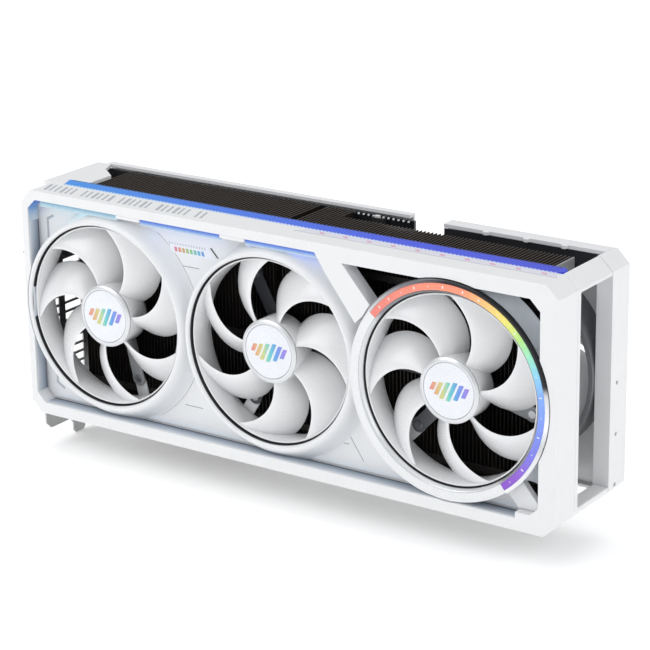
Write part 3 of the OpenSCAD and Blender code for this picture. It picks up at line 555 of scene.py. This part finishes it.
# ---------------------------------------------------------------- rotors
# Radii and depths in mm, angles in degrees.
HUB_R, ROTOR_R, HUB_WALL, RIM_T = 18.3, 52.8, 1.6, 1.0
BLADE_SPAN, BLADE_SWEEP, BLADES = 33.0, 32.0, 7
BLADE_D = (3.4, 17.2)


def sweep_at(r):
    """How far a blade leans round the axis at a radius."""
    return BLADE_SWEEP * max(0.0, (r - HUB_R) / (ROTOR_R - HUB_R)) ** 1.7


def blade(bm, fan, face, sign, start, hand, rear):
    """One swept blade, thick at its root and tip, that reaches into the hub and the rim."""
    rows, cols = 22, 26
    r0, r1 = HUB_R - HUB_WALL / 2, ROTOR_R - RIM_T / 2
    front, back = [], []
    for i in range(rows + 1):
        f = i / rows
        r = r0 + (r1 - r0) * f
        root = 1 + 0.7 * math.exp(-max(0.0, r - HUB_R) / 1.6)
        tip = 1 + 0.5 * math.exp(-max(0.0, ROTOR_R - RIM_T - r) / 1.2)
        fr, bk = [], []
        for j in range(cols + 1):
            s = 0.5 - 0.5 * math.cos(math.pi * j / cols)
            thick = (0.7 + 1.5 * math.sin(math.pi * s ** 0.6)) * root * tip
            half = 0.5 * thick * math.sqrt(max(0.0, 1 - abs(2 * s - 1) ** 10))
            z = BLADE_D[0] + 0.8 + (BLADE_D[1] - BLADE_D[0] - 1.6) * (0.62 * s + 0.38 * s * s)
            if rear:
                z = BLADE_D[0] + BLADE_D[1] - z
                a = start - (sweep_at(r) - BLADE_SPAN * s)
            else:
                a = start + hand * (sweep_at(r) - BLADE_SPAN * s)
            a = math.radians(a)
            x, zz = fan[0] + r * math.cos(a), fan[2] + r * math.sin(a)
            if j in (0, cols):
                v = bm.verts.new(at(x, face + sign * z, zz))
                fr.append(v)
                bk.append(v)
            else:
                fr.append(bm.verts.new(at(x, face + sign * (z - half), zz)))
                bk.append(bm.verts.new(at(x, face + sign * (z + half), zz)))
        front.append(fr)
        back.append(bk)
    for i in range(rows):
        for j in range(cols):
            bm.faces.new([front[i][j], front[i][j + 1], front[i + 1][j + 1], front[i + 1][j]])
            bm.faces.new([back[i][j + 1], back[i][j], back[i + 1][j], back[i + 1][j + 1]])
    for i in (0, rows):
        loop = front[i] + [v for v in reversed(back[i]) if v not in front[i]]
        bm.faces.new(loop)


def rotor(which, start, hand):
    """Hub, blades and rim as one moulding. hand tells which way the blades lean."""
    fan = FANS[which]
    rear = which == "rear"
    face, sign = (CARD_T, -1) if rear else (0.0, 1)
    bm = bmesh.new()
    hub = [(0, 3)] + rounded([(HUB_R - 0.1, 3), (HUB_R, 17.2), (HUB_R - HUB_WALL, 17.2),
                              (HUB_R - HUB_WALL, 4.8)], [0.5, 0.3, 0.3, 0.6], 3) + [(0, 4.8)]
    revolve(bm, hub, fan, face, sign, 128)
    revolve(bm, [(1.5, 4.6), (3.0, 4.6), (3.0, 7.2), (2.8, 7.4), (1.5, 7.4)], fan, face, sign, 48)
    revolve(bm, rounded([(ROTOR_R - RIM_T, 2.8), (ROTOR_R, 2.8), (ROTOR_R, 17.4),
                         (ROTOR_R - RIM_T, 17.4)], 0.35, 3), fan, face, sign, 224)
    for k in range(BLADES):
        blade(bm, fan, face, sign, start + k * 360.0 / BLADES, hand, rear)
    make_object(which + "_rotor_moulding", bm, MAT["white_rotor"], which + "_rotor",
                (which + "_fan_rotor",), sharp=50)


STARTS = {"left": (109.5, 1), "center": (120.1, -1), "right": (112.0, 1), "rear": (100.0, 1)}
for which, (start, hand) in STARTS.items():
    rotor(which, start, hand)

# ---------------------------------------------------------------- panel and mouths
DUCT_R, DUCT_D, FLARE_R, PANEL_Y, PAD_Y = 53.6, 20.6, 64.2, 9.5, 8.9
FLARE_IN, PANEL_HOLE = 56.35, 56.36
STRUT_X = 331.0
LEFT, MID, RIGHT = FANS["left"], FANS["center"], FANS["right"]


def bake(o):
    """Turns an object's modifiers into its mesh."""
    dg = bpy.context.evaluated_depsgraph_get()
    me = bpy.data.meshes.new_from_object(o.evaluated_get(dg))
    o.modifiers.clear()
    o.data = me


def cut(o, maker, operation="DIFFERENCE"):
    """Cuts o with, or to, a solid that maker draws."""
    bm = bmesh.new()
    maker(bm)
    bmesh.ops.recalc_face_normals(bm, faces=bm.faces)
    me = bpy.data.meshes.new("cutter")
    bm.to_mesh(me)
    bm.free()
    tool = bpy.data.objects.new("cutter", me)
    scene.collection.objects.link(tool)
    m = o.modifiers.new("cut", "BOOLEAN")
    m.object = tool
    m.operation = operation
    m.solver = "EXACT"
    bpy.context.view_layer.update()
    bake(o)
    bpy.data.objects.remove(tool)
    for p in o.data.polygons:
        p.use_smooth = True
    o.data.set_sharp_from_angle(angle=math.radians(35))


opening = [(4.5, 12.5), (10, 7.0), (STRUT_X, 7.0), (STRUT_X, 27), (236, 27), (232, 96),
           (212.5, 122), (206.5, 130.9), (10, 130.9), (4.5, 125.4)]
pad = [(5.9, 13.4), (10.8, 8.5), (STRUT_X - 0.8, 8.5), (STRUT_X - 0.8, 26.6), (236, 26.6),
       (231, 95.4), (211.6, 121.4), (205.0, 128.9), (13.4, 128.9), (5.9, 121.4)]
shell = [(8.3, 2.6), (STRUT_X, 2.6), (STRUT_X, 27), (236, 27), (232, 96), (212.5, 122),
         (204, 134), (8.3, 134), (2.6, 128.3), (2.6, 8.3)]

bm = bmesh.new()
prism(bm, [shell], PANEL_Y, PANEL_Y + 2.4)
panel = make_object("panel_plate", bm, MAT["white_panel"], "card",
                    ("fan_shroud_panel",))
bm = bmesh.new()
prism(bm, [rounded(pad, 0.8, 3)], PAD_Y, PANEL_Y + 0.2)
raised = make_object("panel_raised_face", bm, MAT["white_panel"], "card")


def spread_at(angle):
    """How far the flare reaches at an angle: its left side is flat up to the lip."""
    a = abs((angle + 180) % 360 - 180)
    f = min(1.0, max(0.0, (a - 92.0) / 40.0))
    return 1.0 - 0.93 * f * f * (3 - 2 * f)


def flare_outline(fan, reach, count=256):
    out = []
    for k in range(count):
        turned_by = 360.0 * k / count
        r = PANEL_HOLE + (reach - PANEL_HOLE) * spread_at(turned_by)
        a = math.radians(turned_by)
        out.append((fan[0] + r * math.cos(a), fan[2] + r * math.sin(a)))
    return out


for o in (panel, raised):
    for fan in (LEFT, MID):
        cut(o, lambda bm: prism(bm, [flare_outline(fan, FLARE_R - 0.8)], 5.0, 14.0))
    cut(o, lambda bm: prism(bm, [ring_points(RIGHT, DUCT_R + 2.5)], 5.0, 14.0))


SEAM_W, SEAM_D, HOOK_D = 0.5, 0.5, 0.35


def bar_cut(bm, x0, z0, x1, z1):
    d = Vector((x1 - x0, z1 - z0))
    n = Vector((-d.y, d.x)).normalized() * SEAM_W / 2
    prism(bm, [[(x0 + n.x, z0 + n.y), (x1 + n.x, z1 + n.y), (x1 - n.x, z1 - n.y),
                (x0 - n.x, z0 - n.y)]], PAD_Y - 1, PAD_Y + SEAM_D)


def straight_seams(bm):
    for line in ((110.5, 105.5, 121.8, 105.5), (108.5, 22.5, 121.3, 22.5),
                 (214.5, 105.5, 223, 105.5), (211.5, 22, 221.5, 22), (218.8, 31.9, 230.8, 13.8)):
        bar_cut(bm, *line)


def round_seams(bm):
    for r, a0, a1 in ((64.6, 21.0, 57.0), (65.0, -58.5, -24.0)):
        revolve(bm, [(r - 0.22, PAD_Y - 1), (r + 0.22, PAD_Y - 1), (r + 0.22, PAD_Y + SEAM_D),
                     (r - 0.22, PAD_Y + SEAM_D)], LEFT, 0.0, 1, 360, (a0, a1))


def hook_grooves(bm):
    for hook in ([(11.0, 101), (12.6, 102.5), (12.6, 117.6), (16.8, 120.0), (16.0, 121.4),
                  (11.0, 118.6)],
                 [(12.0, 26.5), (13.6, 25), (13.6, 18.2), (18.6, 15.4), (17.8, 13.9),
                  (12.0, 17.2)]):
        prism(bm, [hook], PAD_Y - 1, PAD_Y + HOOK_D)


for maker in (straight_seams, round_seams, hook_grooves):
    cut(raised, maker)
for name, maker, finish in (("panel_seam_fill", straight_seams, "seam_grey"),
                            ("panel_hook_fill", hook_grooves, "print_grey")):
    bm = bmesh.new()
    maker(bm)
    o = make_object(name, bm, MAT[finish], "card")
    cut(o, lambda bm: prism(bm, [shell], PAD_Y - 3, PAD_Y + 0.12))
bevel_mod(raised, 0.16, 40)
bevel_mod(panel, 0.2, 40)


def smooth_line(points, steps=4):
    """A Catmull-Rom line through the points."""
    out = []
    for i in range(len(points) - 1):
        p0, p1 = Vector(points[max(i - 1, 0)]), Vector(points[i])
        p2, p3 = Vector(points[i + 1]), Vector(points[min(i + 2, len(points) - 1)])
        for k in range(steps):
            t = k / steps
            out.append(tuple(0.5 * (2 * p1 + (p2 - p0) * t
                                    + (2 * p0 - 5 * p1 + 4 * p2 - p3) * t * t
                                    + (3 * p1 - p0 - 3 * p2 + p3) * t ** 3)))
    out.append(tuple(points[-1]))
    return out


lip = smooth_line([(DUCT_R, 1.9), (53.75, 1.1), (54.2, 0.4), (54.9, 0.05), (55.6, 0.12),
                   (56.4, 0.48)], 3)
flare = smooth_line([(56.35, 0.46), (57.3, 1.1), (58.4, 2.35), (59.5, 4.0), (60.6, 5.7),
                     (61.8, 7.1), (62.9, 8.1), (63.6, 8.62), (64.2, 8.84)], 3)
ARM_AT = {"left": -77, "center": 118, "right": 226}
ARM_IN, ARM_OUT, ARM_HALF = 41, 54, 4
# The neighbour on the right of each flare, and the radius that its own lip or ring keeps free.
NEIGHBOUR = {"left": (MID, 56.2), "center": (RIGHT, 60.3)}


def ribs(name, which):
    """The three arms that hold a motor base, where they show between the blades."""
    bm = bmesh.new()
    c = Vector((FANS[which][0], FANS[which][2]))
    for k in range(3):
        a = math.radians(ARM_AT[which] + 120 * k)
        u = Vector((math.cos(a), math.sin(a)))
        near, far, w = u * ARM_IN, u * ARM_OUT, Vector((-u.y, u.x)) * ARM_HALF
        arm = [c + near - w, c + far - w, c + far + w, c + near + w]
        prism(bm, [rounded([tuple(p) for p in arm], [3.9, 0, 0, 3.9], 6)], 19.6, DUCT_D)
    bevel_mod(make_object(name, bm, MAT["white_ring"], "card"), 0.25)


for which in ("left", "center"):
    fan = FANS[which]
    turned(which + "_mouth_lip", lip + [(56.4, 11.9), (56.0, 12.4), (56.0, DUCT_D),
                                        (DUCT_R, DUCT_D)], fan, "white_ring", sharp=48)
    # A thin black sheet in the gap between lip and rotor rim: painted shade.
    turned(which + "_mouth_gap_painted_shade", [(53.42, 1.5), (53.62, 1.3), (53.62, 6.0), (53.42, 6.0)], fan,
           "gap_black", 224)
    bm = bmesh.new()
    revolve(bm, flare + [(FLARE_R, 9.3), (FLARE_IN, 9.3)], fan, 0.0, 1, 256)
    axis = at(*fan)
    for v in bm.verts:
        dx, dz = (v.co - axis).x, (v.co - axis).z
        reach = math.hypot(dx, dz) / MM
        spread = spread_at(math.degrees(math.atan2(dz, dx)))
        grow = FLARE_IN + (reach - FLARE_IN) * spread
        v.co.x, v.co.z = axis.x + dx * grow / reach, axis.z + dz * grow / reach
    o = make_object(which + "_mouth_flare", bm, MAT["white_panel"], "card",
                    sharp=48)
    cut(o, lambda bm: prism(bm, [opening], -2.0, 14.0), "INTERSECT")
    cut(o, lambda bm: prism(bm, [ring_points(*NEIGHBOUR[which])], -3, 16))
    ribs(which + "_mouth_ribs", which)

# ---------------------------------------------------------------- hub caps
crown = [(0, 1.8), (6, 1.81), (12, 1.85), (14.8, 1.9), (15.3, 1.97), (15.45, 2.2),
         (15.45, 2.98), (0, 2.98)]
rim = rounded([(15.6, 1.86), (16.6, 1.8), (18.22, 2.55), (18.22, 3.0), (15.6, 3.0)],
              [0.2, 0.5, 0.25, 0, 0], 4)
# Plain stripes of the builder's own: left edge, bottom and top of each, from the cap's middle.
STRIPES = [(-11.4, -1.0, 3.4), (-7.6, -3.4, 3.9), (-3.6, -5.2, 4.6), (0.6, -5.8, 5.2),
           (4.8, -4.6, 4.4), (8.6, -2.4, 3.2)]
STRIPE_W, STRIPE_LEAN = 2.7, 0.45

for which, fan in FANS.items():
    rear = which == "rear"
    face, sign = (CARD_T, -1) if rear else (0.0, 1)
    bm = bmesh.new()
    revolve(bm, crown, fan, face, sign, 128)
    make_object(which + "_cap_disc", bm, MAT["hub_cap_silver"], which + "_rotor",
                (which + "_hub_cap",))
    bm = bmesh.new()
    revolve(bm, rim, fan, face, sign, 160)
    make_object(which + "_cap_rim", bm, MAT["chrome"], which + "_rotor")
    bm = bmesh.new()
    for x, z0, z1 in STRIPES:
        pts = [(x + STRIPE_LEAN * z0, z0), (x + STRIPE_W + STRIPE_LEAN * z0, z0),
               (x + STRIPE_W + STRIPE_LEAN * z1, z1), (x + STRIPE_LEAN * z1, z1)]
        pts = [(fan[0] + (-u if rear else u), fan[2] + v) for u, v in pts]
        lo, hi = (CARD_T - 1.95, CARD_T - 1.72) if rear else (1.72, 1.95)
        prism(bm, [rounded(pts, 0.35, 3)], lo, hi)
    make_object(which + "_cap_stripes", bm, stripes_of(which + "_stripes", fan, 12.5),
                which + "_rotor")

# ---------------------------------------------------------------- lit ring
LIT = (-52.9, 142.9)
turned("ring_body", [
    (55.12, 0.42), (58.95, 0.42), (59.0, -0.62), (60.2, -0.78), (60.45, -0.55), (60.5, 3.2),
    (56.0, 3.3), (56.0, DUCT_D), (DUCT_R, DUCT_D), (DUCT_R, 2.4), (54.9, 0.5)],
    RIGHT, "white_ring", replaces=("right_ring_base",), sharp=30)
turned("ring_plain_face", rounded(
    [(55.12, -0.74), (58.99, -0.74), (58.99, 0.44), (55.12, 0.44)], [0.25, 0.1, 0, 0], 3),
    RIGHT, "white_ring", arc=(143.0, 307.0))
turned("ring_inner_bevel", rounded(
    [(55.06, -0.76), (55.08, 0.6), (DUCT_R - 0.02, 3.0), (DUCT_R - 0.02, 1.2), (54.3, 0.1)],
    [0.2, 0, 0, 0.2, 0.3], 3), RIGHT, "ring_bevel")
# A thin black sheet in the gap between ring and rotor rim: painted shade.
turned("ring_gap_painted_shade", [(53.42, 2.2), (53.56, 2.0), (53.56, 6.0), (53.42, 6.0)], RIGHT,
       "gap_black", 224)
turned("ring_trim_band", rounded(
    [(59.02, -0.66), (59.1, -0.8), (60.5, -0.8), (61.25, -0.25), (61.3, 1.4), (60.52, 1.4),
     (60.48, -0.6), (60.2, -0.74)], [0, 0.1, 0.4, 0.4, 0.1, 0, 0, 0], 3),
    RIGHT, "ring_trim", 360, LIT, ("right_ring_trim",), 50)


def right_window(bm):
    """The recess round the right fan, as a solid to cut to."""
    prism(bm, [[(200, 127.5), (338.3, 127.5), (344.5, 121.5), (344.5, 15.1), (339.9, 10.6),
                (200, 10.6)]], -2, 20)


# The flare behind the lit ring belongs to the white shroud; its grey is painted shade.
cone = smooth_line([(60.55, 1.3), (61.0, 3.4), (62.2, 6.2), (64.2, 8.8), (66.3, 10.4)], 4)
o = turned("ring_back_flare", cone + [(66.3, 10.9), (60.6, 10.9)], RIGHT, "flare_grey",
           arc=(-42.0, 90.0), sharp=50)
cut(o, right_window, "INTERSECT")
c = Vector((RIGHT[0], RIGHT[2]))
a = math.radians(-50)
u = Vector((math.cos(a), math.sin(a)))
near, far, w = u * 59, u * 92, Vector((-u.y, u.x)) * 6
o = slab("ring_strut", [[tuple(p) for p in (c + near - w, c + far - w, c + far + w,
                                            c + near + w)]], 5, 9, "white_panel", "white_panel")
cut(o, right_window, "INTERSECT")
cut(o, lambda bm: prism(bm, [ring_points(RIGHT, 60.55)], 3, 12))
bevel_mod(o, 0.4)
ribs("ring_ribs", "right")
turned("ring_light_arc", rounded(
    [(55.1, -0.72), (58.9, -0.72), (58.9, 0.38), (55.1, 0.38)], [0.35, 0.35, 0, 0], 4),
    RIGHT, "ring_light", 360, LIT, ("right_ring_light",))
bm = bmesh.new()
for a in (136, 128, 119, 110, 101, 92, 80, 70, 57, 44, 31, 19, 8, -3, -14, -25, -36, -47):
    half, r0, r1 = (0.18, 56.6, 57.4) if a % 2 else (0.32, 56.3, 57.8)
    revolve(bm, [(r0, -0.78), (r1, -0.78), (r1, -0.6), (r0, -0.6)], RIGHT, 0, 1, 360,
            (a - half, a + half))
make_object("ring_ticks", bm, MAT["tick_white"], "card")

# ---------------------------------------------------------------- front light bars
for k, (x0, x1, lean) in enumerate(((13.5, 70.0, 0), (87.0, 143.0, 0), (160.0, 206.0, 2.2))):
    slab("front_bar_%d" % (k + 1),
         [[(x0, 127.4), (x1 + lean, 127.4), (x1, 130.8), (x0, 130.8)]], 1.2, 3.0,
         "bar_light" if k else "bar_pale", "bar_light", bevel=0.3,
         replaces=() if k else ("front_light_bars",))
# A thin sheet on the top left inner corner that carries the front bars' painted light.
slab("corner_painted_light", [[(4.55, 117.1), (4.8, 117.1), (4.8, 125.2), (10.1, 130.5), (13.4, 130.5),
                      (13.4, 130.8), (10.0, 130.8), (4.55, 125.3)]], 0.9, 8.7,
     "wall_glow", "bar_light")
# Thin sheets on the left and bottom inner walls, carrying that painted shade.
slab("left_wall_painted_shade", [[(4.55, 12.8), (4.75, 12.8), (4.75, 117), (4.55, 117)]], 0.9, 8.7,
     "ledge", "white_panel")
slab("bottom_wall_painted_shade", [[(10.2, 6.92), (330.5, 6.92), (330.5, 7.15), (10.2, 7.15)]], 0.7, 9.3,
     "ledge", "white_panel")
# A flat strip along the pad's bottom edge: its blue-white tint is painted light, standing in for
# the light on the pad's bottom chamfer.
o = slab("bottom_bevel_strip", [[(11.4, 8.6), (330, 8.6), (330, 11.2), (13.6, 11.2)]],
         PAD_Y - 0.18, PAD_Y + 0.05, "strip_blue", "white_panel")
for fan, clear in ((LEFT, 63.9), (MID, 63.9), (RIGHT, 60.6)):
    cut(o, lambda bm: prism(bm, [ring_points(fan, clear)], 8, 10))
slab("badge_plate", [[(103.5, 112.3), (133, 112.3), (128.5, 118.9), (99.5, 118.9)]], 8.8, 8.95,
     "badge", "badge", replaces=("shroud_badge",))
slab("badge_slash", [[(130.0, 118.9), (131.0, 118.9), (135.8, 113.8), (134.8, 113.8)]],
     8.68, 8.95, "gap_black", "badge")

# ---------------------------------------------------------------- top light
TOP = CARD_H
PITCH = 2.4  # of the comb and the teeth along the strip


def starts(first, last=341):
    """Places at one pitch along the strip."""
    out, x = [], first
    while x < last:
        out.append(x)
        x += PITCH
    return out


strip = rounded([(16, 19.9), (342, 19.9), (345.1, 23.4), (345.1, 26.8), (342, 30.1), (12.2, 30.1)],
                [0.8, 1.5, 1.2, 1.2, 1.5, 0.8], 4)
slab("top_light_lens", [strip], TOP - 2.4, TOP + 0.005, "top_light", "top_light", "z", 0.45,
     ("top_light_diffuser",))
slab("top_light_comb", [[(x + 0.3, 18.6), (x + 1.5, 18.6), (x + 0.9, 20.9), (x - 0.3, 20.9)]
                        for x in starts(17.0)], TOP - 0.3, TOP + 0.015,
     "comb_light", "top_light", "z")
slab("top_light_teeth", [[(x, 28.8), (x + 1.3, 28.8), (x + 1.3, 30.2), (x, 30.2)]
                         for x in starts(15.0)], TOP - 0.42, TOP + 0.012,
     "tick_dark", "top_light", "z")
slab("top_inlay", [[(184, 13.2), (346.5, 13.2), (344, 18.5), (190, 18.5)]],
     TOP - 0.3, TOP + 0.008, "inlay_lavender", "top_light", "z")
# A grey line along the front edge of the slightly sunken inlay: a painted shadow.
slab("top_inlay_painted_shadow", [[(184, 12.6), (347, 12.6), (347, 13.2), (184, 13.2)]],
     TOP - 0.3, TOP + 0.01, "print_grey", "top_light", "z")
slab("top_inlay_marks", [[(x, 15.0), (x + 3.0, 15.0), (x + 1.4, 17.2), (x - 1.6, 17.2)]
                         for x in (200 + k * 15.2 for k in range(10))],
     TOP - 0.1, TOP + 0.015, "mark_pink", "top_light", "z")
# A black sheet across the slot under the rear cover's top: painted shade. The badge slash above
# uses the same black as print.
slab("rear_cover_slot", [[(246.5, 122.5), (344, 122.5), (344, 134.1), (246.5, 134.1)]],
     66.1, 66.35, "gap_black", "dark_plastic")
slab("rear_cover_tabs", [[(x - 2.2, 66.5), (x + 2.2, 66.5), (x + 1.1, 64.6), (x - 1.1, 64.6)]
                         for x in (273, 298, 321)], TOP - 2.2, TOP - 0.3,
     "white_back", "white_back", "z", 0.2)
slab("board_edge_dots", [[(x, 67.0), (x + 0.9, 67.0), (x + 0.9, 67.9), (x, 67.9)]
                         for x in (186 + 3.3 * k for k in range(12))], 133.2, 134.0,
     "tick_white", "dark_board", "z")

# Plain slanted bars stand where the object carries lettering.
bars = []
for k in range(30):
    if k % 7 != 6:
        x, wide = 13 + 3.9 * k, 1.5 if k % 3 else 2.2
        bars.append(rounded([(x - 3.8, 16.2), (x + wide - 3.8, 16.2), (x + wide, 4.8), (x, 4.8)],
                            0.4, 3))
slab("top_bars", bars, TOP - 0.3, TOP + 0.01, "print_grey", "white_shell", "z")

# ---------------------------------------------------------------- badge marks
MARK_Y = (8.72, 8.82)
slab("badge_hatch", [[(x + 1.0, 117.1), (x + 1.6, 117.1), (x + 1.0, 118.4), (x + 0.4, 118.4)]
                     for x in (100.6 + k * 1.9 for k in range(14))], *MARK_Y,
     "print_grey", "badge")
# Printed dashes on the badge, made to glow: painted light.
MAT["badge_dash"] = glow_of("badge_dash", between("X", 103, 129), [
    (0.0, rgb(226, 120, 200)), (0.25, rgb(240, 170, 120)), (0.5, rgb(150, 220, 140)),
    (0.75, rgb(110, 200, 240)), (1.0, rgb(130, 120, 240))], 0.3)
slab("badge_dashes", [[(x + 0.6, 113.3), (x + 2.4, 113.3), (x + 1.7, 115.9), (x - 0.1, 115.9)]
                      for x in (104.8 + k * 2.7 for k in range(8))], *MARK_Y,
     "badge_dash", "badge")

# ---------------------------------------------------------------- light, floor, camera
lo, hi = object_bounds()
FLOOR_GAP, FLOOR_HALF = 0.0002, 14.0
steps = (-FLOOR_HALF, 0, FLOOR_HALF)
bm = bmesh.new()
grid = [[bm.verts.new((x, y, lo.z - FLOOR_GAP)) for x in steps] for y in steps]
for i in range(2):
    for j in range(2):
        bm.faces.new([grid[i][j], grid[i][j + 1], grid[i + 1][j + 1], grid[i + 1][j]])
me = bpy.data.meshes.new("studio_floor")
bm.to_mesh(me)
bm.free()
floor = bpy.data.objects.new("studio_floor", me)
scene.collection.objects.link(floor)
paper = finish_of("floor_paper", (0.95, 0.95, 0.95), 0.9, vary=0.004, scale=6.0, grain=0.0)
paper_shader = paper.node_tree.nodes["Principled BSDF"]
paper_shader.inputs["Emission Color"].default_value = (1, 1, 1, 1)
paper_shader.inputs["Emission Strength"].default_value = 0.3
me.materials.append(paper)

world = bpy.data.worlds.new("studio")
scene.world = world
world.use_nodes = True
sky = world.node_tree
bg = sky.nodes["Background"]
sky_coord = sky.nodes.new("ShaderNodeTexCoord")
sky_split = sky.nodes.new("ShaderNodeSeparateXYZ")
sky.links.new(sky_coord.outputs["Generated"], sky_split.inputs[0])
sky.links.new(ramp(sky, sky_split.outputs["Z"], [
    (0.0, (0.42, 0.43, 0.45)), (0.12, (0.52, 0.53, 0.55)), (0.35, (0.80, 0.81, 0.82)),
    (1.0, (0.92, 0.93, 0.94))]), bg.inputs["Color"])
bg.inputs["Strength"].default_value = 0.72
scene.view_settings.view_transform = "Standard"

centre = (lo + hi) / 2


def softbox(name, place, aim, size_x, size_y, power, color=(1, 1, 1)):
    """A rectangular light that faces aim. Sizes in metres, power in watts."""
    data = bpy.data.lights.new(name, "AREA")
    data.shape = "RECTANGLE"
    data.size, data.size_y = size_x, size_y
    data.energy = power
    data.color = color
    o = bpy.data.objects.new(name, data)
    scene.collection.objects.link(o)
    o.location = place
    o.rotation_mode = "QUATERNION"
    o.rotation_quaternion = (Vector(aim) - Vector(place)).to_track_quat("-Z", "Y")


softbox("key", centre + Vector((-0.75, -1.05, 0.95)), centre + Vector((-0.06, 0, 0)),
        1.1, 0.9, 8)
softbox("top", centre + Vector((0.0, 0.3, 1.9)), centre, 2.2, 1.6, 9)
softbox("side", centre + Vector((1.7, -0.3, 0.6)), centre, 1.0, 1.2, 6)
# The light that the three front bars throw on the panel below them.
BAR_SPILL_W = 0.0005
for k, (x, tint) in enumerate(((42, (0.45, 0.85, 1.0)), (115, (0.25, 0.45, 1.0)),
                               (184, (0.2, 0.35, 1.0)))):
    softbox("bar_spill_%d" % (k + 1), at(x, 5.5, 126.5), at(x, 8.5, 100), 0.05, 0.004,
            BAR_SPILL_W, tint)

# Solved from the photograph: the lens in mm, the place in mm from the shroud's corner, and the
# camera's own right, up and back directions.
SENSOR_MM, LENS_MM = 36.0, 133.74
CAMERA_AT = (915.33, -1000.93, 502.79)
CAMERA_AXES = ((0.8215169, 0.5699585, -0.0160407), (-0.1692759, 0.2706590, 0.9476758),
               (0.5444774, -0.7758163, 0.3188312))
cam_data = bpy.data.cameras.new("camera")
cam = bpy.data.objects.new("camera", cam_data)
scene.collection.objects.link(cam)
cam_data.sensor_width = SENSOR_MM
cam_data.lens = LENS_MM
cam.location = at(*CAMERA_AT)
cam.rotation_mode = "QUATERNION"
cam.rotation_quaternion = Matrix(CAMERA_AXES).transposed().to_quaternion()
cam_data.clip_start, cam_data.clip_end = 0.05, 60.0
scene.camera = cam
